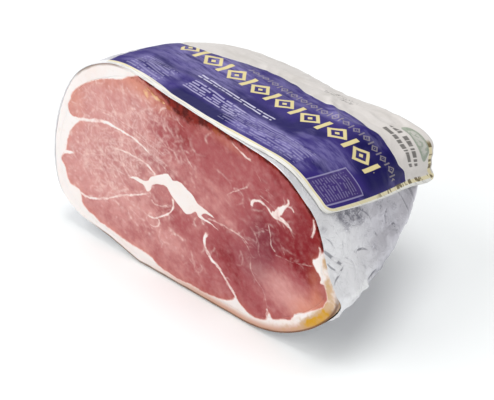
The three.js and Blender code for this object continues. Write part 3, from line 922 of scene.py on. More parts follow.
def foil_move(base, depth, crumple_and_shade, tabs):
    """How far the foil stands out of its smooth form, and its creases and grooves."""
    x, z = base[..., 0], base[..., 2]
    low_edge = side_height(depth)
    under_label = smooth(z, low_edge - 10, low_edge) * smooth(x, -80, -70)
    under_label *= 1 - smooth(depth, 118, 130)
    size = 1.1 * (1 - 0.86 * under_label) * (0.25 + 0.75 * smooth(depth, 0, 6))
    drawn, groove = folded(base, FOIL_FOLDS)
    crushed = 1 - 2.6 * np.abs(noise_on(base, 40, 3.2, 1))
    crease = crumpled(base.reshape(-1, 3), 31).reshape(depth.shape) + drawn * (1 - 0.8 * under_label)
    crease += 0.7 * crushed * np.clip(crumple_and_shade, 0, 1) * (1 - under_label)
    lifted = 0.5 * smooth(x, 60, 80) * smooth(depth, 0, 7) * (1 - under_label)
    move = crease * size * (1 + 0.5 * lifted) + lifted
    move = np.clip(move, -FOIL_INWARD, FOIL_OUTWARD + lifted)
    low_right = smooth(x, 50, 80) * (1 - smooth(z, 36, 56)) * (1 - smooth(depth, 60, 90))
    tatters = np.maximum(noise_on(base, 36, 8, 2), 0) * low_right * smooth(depth, 2, 9)
    return move + 2.6 * tatters + tabs, crease, groove


def rim_back(rim):
    """How far the rim is set back: a little on the left, more below, most at the low right corner."""
    x, _, z = rim.T
    corner = smooth(x, 84, 104) * (1 - smooth(z, 44, 58))
    back = 2.2 * (1 - smooth(z, 6, 26)) * (1 - corner) + 4.5 * corner
    back += 0.3 * (1 - smooth(x, -70, -20)) * smooth(z, 8, 30)
    return back + 0.42 * Noise(33).layered(rim, 14, 3)


def rim_spread(rim):
    """How far the rim flares on the left."""
    x, _, z = rim.T
    flare = 0.75 * (1 - smooth(x, -108, -88)) * smooth(z, 24, 50) * (1 - smooth(z, 96, 116))
    flare *= 1 + 0.8 * Noise(37).layered(rim, 16, 3)
    return flare - 0.1 * (1 - smooth(x, -90, -50))


def foil_thickness(rim, depth, out):
    """The foil's thickness: thin at the rim, but on the left its lip closes onto the fat."""
    closing = (1 - smooth(rim[:, 0], -80, -40))[None] * np.exp(-depth / 3.0)
    return blend(0.05 + 0.32 * np.clip(depth / 6.0, 0, 1), np.maximum(out + 0.5, 0.1), closing)


def foil_film(base, depth, tabs):
    """Where the clear film lies loose: along the cut, down the right side and on the tabs."""
    x = base[..., 0]
    clear = 1 - smooth(depth + 1.5 * noise_on(base, 35, 9, 2), 3.0, 7.0)
    clear *= 1 - 0.55 * smooth(x, 10, 70)
    clear = np.maximum(clear, 0.75 * (1 - smooth(depth, 14, 60)) * smooth(x, 60, 90))
    return np.maximum(clear, smooth(tabs, 0.5, 1.2))


def foil_strip(base, depth):
    """The grey strip of film before the label, and the one on the left lip."""
    x, z = base[..., 0], base[..., 2]
    strip = smooth(x, 22, 60) * smooth(z, 84, 98) * (1 - smooth(depth, 7, 12))
    strip *= 0.75 + 0.5 * noise_on(base, 38, 14, 3)
    left = 1 - smooth(x[0], -90, -50)
    return np.maximum(strip, 0.55 * left[None] * (1 - smooth(depth, 0.5, 1.5)))


def make_foil():
    """The foil: a crinkled cup, open at the cut, and a plainer inner wall."""
    base = foil_grid()
    rows, columns = base.shape[:2]
    rim = base[0]
    normal = normals_of(base, closed=True)
    depth = base[..., 1] - CUT_Y
    crumple_and_shade, grey, tabs = (side_marks(base, depth, marks) for marks in (FOIL_CRUMPLE_AND_SHADE, FOIL_SHADE_MARKS, FOIL_TABS))
    move, crease, groove = foil_move(base, depth, crumple_and_shade, tabs)
    spread = rim_spread(rim)[None] * np.exp(-depth / 2.2)
    skin = base + normal * move[..., None]
    skin[..., 1] += rim_back(rim)[None] * np.exp(-depth / 9.0)
    skin += normal[0][None] * spread[..., None]
    skin[..., 2] = np.maximum(skin[..., 2], LOWEST_SKIN)
    step = np.unique(np.r_[0:6, 6:rows:9, rows - 1])
    thin = foil_thickness(rim, depth, move + spread)
    wall = (skin - normal * thin[..., None])[step]
    wall[..., 2] = np.maximum(wall[..., 2], LOWEST_WALL)
    wall_start = rows * columns
    tip = wall_start + len(step) * columns
    faces = sheet_faces(rows, columns, True, 0)
    faces += sheet_faces(len(step), columns, True, wall_start, inward=True)
    faces += ring_faces(wall_start, 0, columns)
    faces += cap_faces(wall_start - columns, tip, columns)
    faces += cap_faces(tip - columns, tip + 1, columns, inward=True)
    ends = np.stack([skin[-1].mean(0), wall[-1].mean(0)])
    vertices = np.vstack([skin.reshape(-1, 3), wall.reshape(-1, 3), ends])
    # The fold, groove and grey fields and the crumpled marks also set where the foil's material paints shade.
    fields = {
        "fold": crease,
        "film": foil_film(base, depth, tabs),
        "crumple_and_shade": crumple_and_shade,
        "grey": grey,
        "groove": groove,
        "strip": foil_strip(base, depth),
    }
    fields = {key: np.r_[values.ravel(), values[step].ravel(), 0, 0] for key, values in fields.items()}
    return new_piece("foil_cup", vertices, faces, fields)


# The label


def label_point(outline, out, depth):
    """The label's surface at a depth, before it is trimmed."""
    place = grown(outline, out)
    skin = outline[:, :2]
    share = depth / (HAM_DEPTH + out)
    past = max(share - LIFT_FROM_SHARE, 0)
    lift = LIFT * past * past * smooth(skin[:, 0], 0, LIFT_TO_X)
    x, z = narrowed(place, skin, share - lift)
    flap = smooth(skin[:, 0], FLAP_FROM_X, FLAP_TO_X) * smooth(depth, FLAP_FROM_DEPTH, LABEL_FAR)
    x = np.maximum(blend(x, FLAP_X + out, flap), x)
    return np.stack([x, np.full_like(x, depth + CUT_Y), z + HAM_BOTTOM], 1)


LABEL_OUT_NEAR = 1.05


def side_height(depth):
    """How low the label's right edge hangs at a depth."""
    return HAM_BOTTOM + 100 - (depth - 5) * 31 / 123


def label_table(outline, out, depths, columns):
    """Rows of the label from its left edge to its right one, each evenly spaced."""
    upper = np.flatnonzero((outline[:, 1] > 40) & (outline[:, 0] > -110))
    start = next(i for i in upper if (i - 1) % len(outline) not in set(upper))
    order = [(start + k) % len(outline) for k in range(len(upper))]
    rows = []
    for depth in depths:
        line = label_point(outline, blend(LABEL_OUT_NEAR, out, smooth(depth, 0, 12)), depth)[order]
        left = np.argmax(line[:, 0] > LABEL_LEFT)
        past = np.flatnonzero((line[:, 0] > 70) & (line[:, 2] < side_height(depth)))
        right = past[0] if len(past) else len(line) - 1
        t = (LABEL_LEFT - line[left - 1, 0]) / (line[left, 0] - line[left - 1, 0])
        begin = blend(line[left - 1], line[left], t)
        drop = (line[right - 1, 2] - side_height(depth)) / (line[right - 1, 2] - line[right, 2])
        finish = blend(line[right - 1], line[right], np.clip(drop, 0, 1))
        rows.append(even(np.vstack([begin, line[left:right], finish]), columns))
    return np.array(rows)


# Folds of the label: points as distance from its right edge and from its near edge, height, half-width.
FOLDS = [
    ([(176, 6), (160, 16), (140, 26), (118, 28), (96, 30)], 1.3, 4.5),
    ([(150, 3), (132, 8), (112, 9), (96, 8)], -1.0, 4.0),
    ([(104, 10), (82, 14), (62, 16), (44, 20), (30, 26)], 1.3, 4.5),
    ([(70, 2), (52, 6), (34, 9)], -0.6, 3.0), ([(56, 25), (46, 29), (34, 32)], -1.0, 1.8),
    ([(140, 40), (112, 40), (84, 42), (60, 38)], -0.8, 4.5),
    ([(88, 108), (78, 94), (64, 80), (52, 70)], 1.6, 2.6),
    ([(66, 80), (48, 84), (36, 88), (20, 86)], 1.3, 3.2),
    ([(74, 106), (58, 98), (44, 94), (28, 96)], -1.3, 4.0), ([(36, 60), (32, 74), (30, 88)], -1.2, 3.0),
    ([(22, 60), (16, 76), (12, 92), (10, 108)], 1.0, 2.5), ([(160, 62), (134, 70), (104, 74)], 1.0, 5.0),
    ([(48, 104), (34, 110), (18, 112)], 1.2, 2.6), ([(60, 124), (46, 116), (40, 104)], -1.4, 3.0),
    ([(130, 92), (110, 102), (92, 112)], -0.9, 5.0), ([(150, 84), (126, 100), (104, 118)], 1.0, 4.0),
    ([(24, 14), (18, 26), (22, 38)], 0.6, 3.0),
]
CORNER_RADIUS = 4.5
LABEL_OUT = 1.75
LABEL_COLUMNS = 288
LABEL_ROWS = 160
FILM_THICKNESS = 0.28


def label_edges(line):
    """The depths at which the label starts and ends, for each of its columns."""
    x = line[:, 0]
    along = np.stack([x, x * 0, x * 0], 1)
    near = blend(0.25, 6.5, smooth(x, 20, 96)) + 0.3 * Noise(41).layered(along, 26, 3)
    from_side = np.linalg.norm(np.diff(line, axis=0), axis=1)[::-1].cumsum()[::-1]
    round_in = np.clip(1 - np.r_[from_side, 0] / CORNER_RADIUS, 0, 1)
    near += CORNER_RADIUS * (1 - np.sqrt(1 - round_in ** 2))
    far = LABEL_FAR - 1.2 + 0.9 * Noise(42).layered(along, 30, 3)
    return np.maximum(near, 0), far


def label_grid(outline):
    """The label's points before it is folded, as rows from its near edge to its far one."""
    depths = np.linspace(0, LABEL_FAR + 1, LABEL_ROWS)
    table = label_table(outline, LABEL_OUT, depths, LABEL_COLUMNS)
    near, far = label_edges(table[0])
    picks = np.arange(LABEL_COLUMNS)
    rows = []
    for t in np.linspace(0, 1, LABEL_ROWS):
        at = np.clip(blend(near, far, t) / depths[-1] * (LABEL_ROWS - 1), 0, LABEL_ROWS - 1.001)
        index = at.astype(int)
        part = (at - index)[:, None]
        rows.append(blend(table[index, picks], table[index + 1, picks], part))
    return np.array(rows)


def run_along(grid, axis):
    """The distance of each point from the grid's first row (axis 0) or first column (axis 1)."""
    steps = np.linalg.norm(np.diff(grid, axis=axis), axis=2)
    return np.insert(np.cumsum(steps, axis=axis), 0, 0, axis=axis)


def label_height(a, p):
    """How high the film stands over its smooth form: waves, crinkles and drawn folds."""
    flat = np.stack([a.ravel(), p.ravel()], 1)
    place = np.hstack([flat, np.zeros((len(flat), 1))])
    height = 0.45 * Noise(43).layered(place * [1, 0.6, 1], 30, 3)
    crinkle = 1 - 2.4 * np.abs(Noise(44)(place + 4 * Noise(45)(place, 18)[:, None], 13))
    height += (0.22 + 0.3 * smooth(flat[:, 1], 84, 100)) * crinkle
    for line, rise, half in FOLDS:
        height += fold_shape(flat, line, rise, half, 0.02)
    height = np.maximum(height.reshape(a.shape), -0.5) + 0.2
    return height * ((0.4 + 0.6 * smooth(a, 0, 6)) * (0.15 + 0.85 * smooth(p, 0, 9)))


def make_label(outline):
    """The label: a thin film with folds over the top and the right shoulder."""
    grid = label_grid(outline)
    rows, columns = grid.shape[:2]
    count = rows * columns
    # Places on the film: a from its right edge, p from its near edge.
    p = run_along(grid, 0)
    from_left = run_along(grid, 1)
    a = from_left[:, -1:] - from_left
    normal = normals_of(grid, closed=False)
    top = grid + normal * label_height(a, p)[..., None]
    low = top - normal * FILM_THICKNESS
    vertices = np.vstack([top.reshape(-1, 3), low.reshape(-1, 3)])
    faces = sheet_faces(rows, columns, False, 0)
    faces += sheet_faces(rows, columns, False, count, inward=True)
    around = [*range(columns), *range(2 * columns - 1, count, columns)]
    around += [*range(count - 2, count - columns - 1, -1), *range(count - 2 * columns, 0, -columns)]
    after = around[1:] + around[:1]
    faces += [[second, first, first + count, second + count] for first, second in zip(around, after)]
    places = np.stack([a.ravel(), p.ravel(), np.zeros(count)], 1)
    return new_piece("label_film", vertices, faces, vectors={"print": np.vstack([places, places])})


# Materials


class Shader:
    """One material's nodes, with short calls for what they do."""

    sockets = {
        "colour": "Base Color", "roughness": "Roughness", "metal": "Metallic", "normal": "Normal",
        "coat": "Coat Weight", "coat_roughness": "Coat Roughness", "soft": "Subsurface Weight",
        "soft_reach": "Subsurface Radius", "soft_scale": "Subsurface Scale", "specular": "Specular IOR Level",
    }

    def __init__(self, name):
        self.material = bpy.data.materials.new(name)
        self.material.use_nodes = True
        self.tree = self.material.node_tree
        self.bsdf = next(n for n in self.tree.nodes if n.type == "BSDF_PRINCIPLED")

    def set(self, socket, value):
        if isinstance(value, bpy.types.NodeSocket):
            self.tree.links.new(value, socket)
        elif socket.type == "RGBA" and len(value) == 3:
            socket.default_value = (*value, 1)
        else:
            socket.default_value = value

    def add(self, kind, *inputs, output=0, **settings):
        """A node with its inputs in their order; settings are the node's own."""
        node = self.tree.nodes.new(kind)
        for key, value in settings.items():
            setattr(node, key, value)
        for key, value in enumerate(inputs):
            self.set(node.inputs[key], value)
        return node.outputs[output]

    def named(self, kind, output, **inputs):
        """A node whose inputs are given by their names."""
        node = self.tree.nodes.new(kind)
        for key, value in inputs.items():
            self.set(node.inputs[key], value)
        return node.outputs[output]

    def calc(self, operation, *values):
        """One value from one or two, or from more by pairs."""
        total, rest = values[0], values[1:]
        if not rest:
            return self.add("ShaderNodeMath", total, operation=operation)
        for value in rest:
            total = self.add("ShaderNodeMath", total, value, operation=operation)
        return total

    def plus(self, *values):
        return self.calc("ADD", *values)

    def minus(self, first, second):
        return self.calc("SUBTRACT", first, second)

    def times(self, *values):
        return self.calc("MULTIPLY", *values)

    def over(self, first, second):
        return self.calc("DIVIDE", first, second)

    def most(self, *values):
        return self.calc("MAXIMUM", *values)

    def least(self, *values):
        return self.calc("MINIMUM", *values)

    def distance(self, first, second):
        return self.calc("ABSOLUTE", self.minus(first, second))

    def swing(self, noise, reach):
        """A noise turned into a change to both sides of nothing."""
        return self.times(self.minus(noise, 0.5), reach)

    def ramp(self, value, start, end, low, high, kind="LINEAR"):
        """A change from low to high while the value runs from start to end."""
        return self.add("ShaderNodeMapRange", value, start, end, low, high, interpolation_type=kind)

    def fade(self, value, start, end):
        """0 before start and 1 after end, with a smooth change between."""
        return self.ramp(value, start, end, 0.0, 1.0, "SMOOTHSTEP")

    def mix(self, share, first, second, kind="MIX"):
        node = self.tree.nodes.new("ShaderNodeMix")
        node.data_type = "RGBA"
        node.blend_type = kind
        sockets = {s.identifier: s for s in node.inputs}
        self.set(sockets["Factor_Float"], share)
        self.set(sockets["A_Color"], first)
        self.set(sockets["B_Color"], second)
        return next(s for s in node.outputs if s.identifier == "Result_Color")

    def tint(self, colour, new, where, strength):
        """The colour with a new one laid over it at a strength."""
        return self.mix(self.times(where, strength), colour, new)

    def field(self, name, output="Fac"):
        return self.add("ShaderNodeAttribute", output=output, attribute_name=name)

    def scaled(self, vector, factors):
        return self.add("ShaderNodeVectorMath", vector, factors, operation="MULTIPLY")

    def length(self, x, y):
        return self.add("ShaderNodeVectorMath", self.join(x, y, 0.0), operation="LENGTH", output=1)

    def place(self):
        """The place on the object, in millimetres."""
        return self.scaled(self.add("ShaderNodeTexCoord", output="Object"), (1 / MM,) * 3)

    def join(self, x, y, z):
        return self.add("ShaderNodeCombineXYZ", x, y, z)

    def noise(self, vector, size, detail=2.0, roughness=0.5, distortion=0.0):
        return self.named("ShaderNodeTexNoise", "Fac", Scale=1 / size, Detail=detail, Roughness=roughness,
                          Distortion=distortion, Vector=vector)

    def threads(self, vector, size, width, detail, distortion):
        """Thin curled lines where a noise passes its middle."""
        value = self.noise(vector, size, detail, 0.55, distortion)
        return self.minus(1.0, self.fade(self.distance(value, 0.5), 0.0, width))

    def stretched(self, vector, angle, along, across):
        """Coordinates on the cut, turned and stretched, so that a noise has a grain."""
        turn = np.radians(angle)
        ways = [(np.cos(turn) / along, 0, np.sin(turn) / along),
                (-np.sin(turn) / across, 0, np.cos(turn) / across)]
        made = []
        for way in ways:
            made.append(self.add("ShaderNodeVectorMath", vector, way, operation="DOT_PRODUCT", output=1))
        return self.join(*made, 0.0)

    def bump(self, height, distance, strength):
        return self.named("ShaderNodeBump", "Normal", Strength=strength, Distance=distance * MM,
                          Height=height)

    def finish(self, **values):
        for key, value in values.items():
            self.set(self.bsdf.inputs[self.sockets[key]], value)
        return self.material


def from_srgb(red, green, blue):
    """A colour as it looks on a screen, made linear."""
    values = np.array([red, green, blue], float)
    linear = np.where(values <= 0.04045, values / 12.92, ((values + 0.055) / 1.055) ** 2.4)
    return tuple(float(v) for v in linear)


PALE_LEAN = from_srgb(0.82, 0.59, 0.57)
RED_LEAN = from_srgb(0.66, 0.35, 0.36)
DEEP_LEAN = from_srgb(0.55, 0.19, 0.21)
VIOLET_LEAN = from_srgb(0.43, 0.18, 0.25)
CRIMSON_LEAN = from_srgb(0.50, 0.03, 0.09)
ORANGE_LEAN = from_srgb(0.85, 0.55, 0.42)
DRIED_LEAN = from_srgb(0.30, 0.05, 0.03)
DRIED_RED = from_srgb(0.50, 0.13, 0.09)
CRUST_ORANGE = from_srgb(0.62, 0.32, 0.16)
BLUSH_FAT = from_srgb(0.79, 0.61, 0.52)
BEIGE_FAT = from_srgb(0.77, 0.62, 0.44)
THREAD_FAT = from_srgb(0.94, 0.83, 0.80)
WHITE_FAT = from_srgb(0.935, 0.91, 0.90)
PINK_FAT = from_srgb(0.93, 0.885, 0.865)
GOLD_FAT = from_srgb(0.80, 0.60, 0.16)
RIND_BROWN = from_srgb(0.45, 0.31, 0.22)
GOLD_CRUST = from_srgb(0.90, 0.74, 0.56)
HALO_LEAN = from_srgb(0.58, 0.20, 0.17)
# The grain darkens the lean by this linear colour.
GRAIN_TINT = (0.40, 0.12, 0.13)
# Flecks by the dried edge: field, where they start, colour, strength.
FLECKS = [("ember", 0.35, CRUST_ORANGE, 0.7), ("glow", 0.3, GOLD_CRUST, 0.8)]


def lean_colour(s, place, patches, threads):
    """Lean from pale to deep red, with zones of other reds, a fine grain and streaks of fat."""
    red = s.plus(s.field("red"), s.swing(s.noise(place, 12, 3), 0.7), s.swing(patches, 0.5))
    lean = s.mix(s.fade(red, 0.05, 0.72), PALE_LEAN, RED_LEAN)
    lean = s.mix(s.fade(red, 0.7, 1.15), lean, DEEP_LEAN)
    lean = s.tint(lean, VIOLET_LEAN, s.field("violet"), 0.5)
    lean = s.tint(lean, CRIMSON_LEAN, s.times(s.field("crimson"), s.fade(patches, 0.3, 0.55)), 0.8)
    lean = s.tint(lean, ORANGE_LEAN, s.field("orange"), 0.55)
    lean = s.mix(s.times(s.minus(1.0, s.field("fibre")), 0.12), lean, GRAIN_TINT, "MULTIPLY")
    pale_spots = s.times(s.fade(s.noise(place, 4.6, 3, 0.6), 0.40, 0.70), s.field("mottled"))
    lean = s.mix(pale_spots, lean, THREAD_FAT)
    return s.mix(threads, lean, THREAD_FAT)


def dried_colour(s, place, patches, lean):
    """The lean with its dried dark edge, the red beside it, and flecks of orange and cream."""
    dried = s.field("dried")
    halo = s.times(s.field("halo"), s.ramp(patches, 0.35, 0.6, 0.5, 1.0))
    lean = s.tint(lean, HALO_LEAN, halo, 0.7)
    ragged = s.plus(dried, s.swing(s.noise(place, 3.6, 4, 0.65), 1.1))
    dry = s.times(s.fade(ragged, 0.2, 0.8), s.fade(dried, 0.03, 0.25))
    crust = s.mix(s.fade(s.noise(place, 5, 3, 0.6), 0.42, 0.62), DRIED_LEAN, DRIED_RED)
    lean = s.tint(lean, crust, dry, 0.95)
    speckle = s.swing(s.noise(place, 1.8, 3, 0.6), 1.6)
    for name, start, colour, strength in FLECKS:
        field = s.field(name)
        flecks = s.plus(field, s.times(speckle, s.fade(field, 0.02, 0.2)))
        lean = s.tint(lean, colour, s.fade(flecks, start, 0.9), strength)
    return lean


def fat_colour(s, place, fat):
    """White to pink fat, beige at the low right, golden by the right edge, pinker where it is faint."""
    tone = s.mix(s.fade(s.noise(place, 20, 3), 0.4, 0.7), WHITE_FAT, PINK_FAT)
    tone = s.tint(tone, BLUSH_FAT, s.field("blush"), 0.95)
    gold = s.plus(s.field("gold"), s.swing(s.noise(place, 4, 3), 0.8))
    tone = s.tint(tone, BEIGE_FAT, s.fade(gold, 0.05, 0.6), 0.85)
    tone = s.mix(s.fade(gold, 0.6, 1.15), tone, GOLD_FAT)
    return s.mix(s.fade(fat, 0.92, 0.45), tone, THREAD_FAT)


def cut_material():
    """Cut meat: lean, its dried edge, white fat and seams, and a brown rind."""
    s = Shader("cut_meat")
    place = s.place()
    grain = s.field("fibre")
    fat = s.field("fat")
    patches = s.noise(s.stretched(place, -35, 1.3, 1.0), 5.0, 3, 0.55)
    threads = s.times(s.field("streaks"), s.ramp(s.noise(place, 1.4, 2, 0.6), 0.3, 0.6, 0.7, 1.0), 0.78)
    lean = dried_colour(s, place, patches, lean_colour(s, place, patches, threads))
    soft_edge = s.plus(fat, s.swing(s.noise(place, 1.8, 3), 0.6))
    fat_here = s.times(s.fade(soft_edge, 0.12, 0.86), s.fade(fat, 0.02, 0.2))
    colour = s.mix(fat_here, lean, fat_colour(s, place, fat))
    colour = s.tint(colour, RIND_BROWN, s.field("rind"), 0.85)
    height = s.plus(s.times(grain, 0.2), s.times(threads, 0.3), s.times(s.noise(place, 2.5, 4), 0.5))
    return s.finish(colour=colour, roughness=s.ramp(grain, 0.3, 0.7, 0.45, 0.58),
                    normal=s.bump(height, 0.25, 0.6), soft=0.12, soft_reach=(1.0, 0.35, 0.25),
                    soft_scale=1.5 * MM, specular=0.08)


FOIL_LIGHT = from_srgb(0.85, 0.84, 0.87)
FOIL_DARK = from_srgb(0.50, 0.50, 0.55)
FOIL_SHADE = from_srgb(0.40, 0.40, 0.45)
FILM_WHITE = from_srgb(0.95, 0.95, 0.955)
FILM_GREY = from_srgb(0.82, 0.82, 0.83)


def foil_material():
    """Aluminium foil under a thin clear film: bright, satin, creased, whiter where the film lies loose, with
    painted shade in its creases, grooves and crumpled spots and in soft shaded marks.
    """
    s = Shader("crinkled_foil")
    place = s.place()
    crease = s.threads(place, 9, 0.035, 3, 1.2)
    fine = s.threads(place, 3.6, 0.05, 2, 0.8)
    mottled = s.noise(place, 22, 4, 0.6)
    clusters = s.most(s.fade(mottled, 0.56, 0.74), s.field("crumple_and_shade"))
    crumple_and_shade = s.fade(s.field("crumple_and_shade"), 0.1, 0.9)
    film = s.times(s.field("film"), s.minus(1.0, s.times(crumple_and_shade, 0.8)))
    # Painted shade: soft streaky darkening where the shade marks lie.
    streaky = s.ramp(s.noise(s.scaled(place, (0.2, 1.0, 0.2)), 5, 3, 0.6), 0.35, 0.6, 0.35, 1.0)
    grey = s.least(s.times(s.field("grey"), streaky), 1.0)
    curls = s.most(s.threads(place, 6.5, 0.04, 2, 1.6), s.fade(s.noise(place, 6, 3, 0.6), 0.48, 0.66))
    # Painted shade: darker where the creases press the foil in, and along thin crease lines in the clusters.
    colour = s.mix(s.fade(s.field("fold"), 0.1, -1.1), FOIL_LIGHT, FOIL_DARK)
    colour = s.tint(colour, FOIL_DARK, s.times(s.most(crease, s.times(fine, 0.8)), clusters), 0.75)
    colour = s.mix(film, colour, FILM_WHITE)
    colour = s.tint(colour, FILM_GREY, s.field("strip"), 0.75)
    colour = s.tint(colour, FOIL_DARK, grey, 0.8)
    # Painted shade in the fine curled crumples of the crumpled spots.
    colour = s.tint(colour, FOIL_SHADE, s.times(curls, crumple_and_shade), 0.66)
    # Painted shade along the grooves of the drawn folds.
    colour = s.tint(colour, FOIL_SHADE, s.fade(s.field("groove"), 0.2, 0.6), 0.62)
    metal = s.times(s.minus(1.0, film), 0.75)
    height = s.plus(s.times(crease, 0.8), s.times(fine, clusters, 0.6), s.times(s.noise(place, 8, 3), 1.8))
    return s.finish(colour=colour, roughness=s.ramp(mottled, 0.3, 0.7, 0.34, 0.5), metal=metal,
                    normal=s.bump(height, 0.4, 0.7), specular=0.5, coat=0.25, coat_roughness=0.2)


PURPLE = from_srgb(0.20, 0.15, 0.45)
NAVY = from_srgb(0.07, 0.04, 0.32)
SHEEN_HAZE = from_srgb(0.60, 0.57, 0.78)
PANEL = from_srgb(0.85, 0.83, 0.815)
CREAM = from_srgb(0.92, 0.915, 0.895)
CREAM_SHADE = from_srgb(0.76, 0.75, 0.74)
PRINT_GOLD = from_srgb(0.88, 0.82, 0.60)
MARK_GREY = from_srgb(0.35, 0.34, 0.33)
EMBLEM_GREEN = from_srgb(0.55, 0.60, 0.53)
PALE_PRINT = from_srgb(0.70, 0.68, 0.82)
WHITE_PRINT = from_srgb(0.84, 0.83, 0.92)
PANEL_PURPLE = from_srgb(0.33, 0.25, 0.44)
PANEL_SHADE = from_srgb(0.76, 0.74, 0.71)
DIM_GOLD = from_srgb(0.74, 0.70, 0.66)
DARK_GOLD = from_srgb(0.33, 0.27, 0.14)
FIELD_SIDE = 5.0
FIELD_RADIUS = 5.0
# Boxes on the label: from and to as distances from its right edge, the same from its near edge,
# softness, strength.
# Navy places are the print's deeper tone; the boxes nearest the right edge, on the side facing away from the
# light, also hold painted shade.
NAVY_PLACES = [
    (90, 134, 2, 14, 3, 1.0), (26, 44, 56, 90, 8, 1.0), (6, 30, 46, 92, 6, 1.0), (60, 148, 29, 46, 4, 0.7),
]
# Where the lavender sheen lies: partly the print's paler tone, partly a painted reflection on the folds.
SHEEN_HAZE_PLACES = [
    (118, 178, 30, 84, 12, 1.0), (34, 104, 7, 30, 5, 1.0), (142, 176, 2, 26, 5, 0.85),
    (52, 76, 72, 90, 5, 0.9), (78, 120, 62, 92, 8, 0.6), (24, 50, 22, 48, 5, 0.7),
]
# Rows of dashes on the purple: pitch, thickness, dash, bareness; their boxes; colour and strength.
PRINT_ROWS = [
    ((2.3, 0.42, 2.4, 0.40), [(146, 172, 4.5, 24), (40, 98, 8, 27), (9.5, 25, 6, 36)], PALE_PRINT, 0.42),
    ((2.5, 0.5, 3.0, 0.38), [(93, 135, 15, 27.5)], PALE_PRINT, 0.8),
    ((3.6, 0.42, 2.6, 0.36), [(80, 140, 32.4, 39.6)], WHITE_PRINT, 0.9),
]


class Print(Shader):
    """The label's nodes. Its print lies at a from the film's right edge and p from its near edge."""

    def __init__(self, name):
        super().__init__(name)
        self.at = self.field("print", "Vector")
        node = self.tree.nodes.new("ShaderNodeSeparateXYZ")
        self.set(node.inputs[0], self.at)
        self.a, self.p, _ = node.outputs

    def band(self, value, start, end, soft=0.25):
        """1 where the value lies between start and end."""
        low, high = self.minus(value, start), self.minus(value, end)
        return self.minus(self.fade(low, -soft, soft), self.fade(high, -soft, soft))

    def box(self, a_start, a_end, p_start, p_end, soft=0.25, strength=1.0):
        across = self.band(self.a, a_start, a_end, soft)
        return self.times(across, self.band(self.p, p_start, p_end, soft), strength)

    def boxes(self, rows):
        """The strongest of several boxes at each place."""
        made = [self.box(*row) for row in rows]
        return self.most(*made) if len(made) > 1 else made[0]

    def hump(self, rise, fall):
        """A rise and a fall along the label, each given by where it starts and ends."""
        return self.minus(self.fade(self.a, *rise), self.fade(self.a, *fall))

    def rows(self, pitch, thick, dash, bare, start=0.0):
        """Rows of short dashes, which stand for small print."""
        row = self.over(self.minus(self.p, start), pitch)
        in_row = self.distance(self.calc("FRACT", row), 0.5)
        line = self.minus(1.0, self.fade(in_row, thick / 2 - 0.08, thick / 2 + 0.08))
        cell = self.join(self.over(self.a, dash), self.times(self.calc("FLOOR", row), 7.31), 0.0)
        return self.times(line, self.fade(self.noise(cell, 1.0, 0.0), bare - 0.03, bare + 0.03))

    def near_line(self):
        """Where the purple starts, from the label's near edge."""
        line = self.ramp(self.a, 72, 108, 4.8, 3.0, "SMOOTHSTEP")
        return self.plus(line, self.times(self.hump((128, 142), (152, 168)), 1.7))

    def far_line(self):
        """Where the purple ends."""
        line = self.ramp(self.a, 118, 172, 92.5, 64, "SMOOTHSTEP")
        middle = self.times(self.hump((66, 74), (92, 108)), -3.0)
        return self.plus(line, middle, self.times(self.hump((8, 18), (44, 60)), -4.0))

    def lozenges(self, first, last, middle, pitch, wide, high, hollow, bar):
        """A row of lozenges along the label with bars between them."""
        turn = self.over(self.minus(self.a, first), pitch)
        across = self.calc("ABSOLUTE", self.swing(self.calc("FRACT", turn), pitch))
        up = self.distance(self.p, middle)
        size = self.plus(self.over(across, wide), self.over(up, high))
        tall, core = high * 0.86, hollow * 0.42
        stem = self.fade(self.minus(pitch / 2, across), bar + 0.2, bar - 0.2)
        stem = self.times(stem, self.fade(up, tall + 0.3, tall - 0.3))
        marks = self.most(self.band(size, hollow, 1.0, 0.05), self.fade(size, core, core - 0.06), stem)
        return self.times(marks, self.band(self.a, first - 3, last, 0.3))


def purple_cloud(s):
    """The purple ground: navy in places, with a lavender sheen on its folds that is partly the print's paler
    tone and partly a painted reflection.
    """
    navy = s.most(s.boxes(NAVY_PLACES), s.times(s.fade(s.noise(s.at, 30, 3), 0.48, 0.64), 0.8))
    wisps = s.noise(s.scaled(s.at, (1 / 3.0, 1.0, 1.0)), 5, 4, 0.65)
    sheen_haze = s.most(s.boxes(SHEEN_HAZE_PLACES), s.times(s.fade(s.noise(s.at, 26, 3), 0.54, 0.68), 0.5))
    sheen_haze = s.times(sheen_haze, s.minus(1.0, s.box(88, 136, 1, 15, 3)), s.ramp(wisps, 0.38, 0.6, 0.1, 1.0))
    return s.tint(s.mix(navy, PURPLE, NAVY), SHEEN_HAZE, sheen_haze, 0.58)


def purple_field(s):
    """The purple field with its small print, an outlined panel and two rows of ornaments."""
    tone = purple_cloud(s)
    for row, blocks, colour, strength in PRINT_ROWS:
        tone = s.tint(tone, colour, s.times(s.rows(*row), s.boxes(blocks)), strength)
    panel = s.box(7.4, 27.4, 3.9, 40.6, 0.15)
    tone = s.tint(tone, PANEL_PURPLE, panel, 0.35)
    tone = s.tint(tone, PALE_PRINT, s.minus(panel, s.box(8.3, 26.5, 4.8, 39.7, 0.15)), 0.55)
    tone = s.tint(tone, DIM_GOLD, s.lozenges(12, 134, 76.8, 8.0, 2.8, 3.8, 0.55, 0.5), 0.42)
    return s.mix(s.lozenges(21, 175, 60, 20, 7.4, 9.8, 0.62, 1.45), tone, PRINT_GOLD)


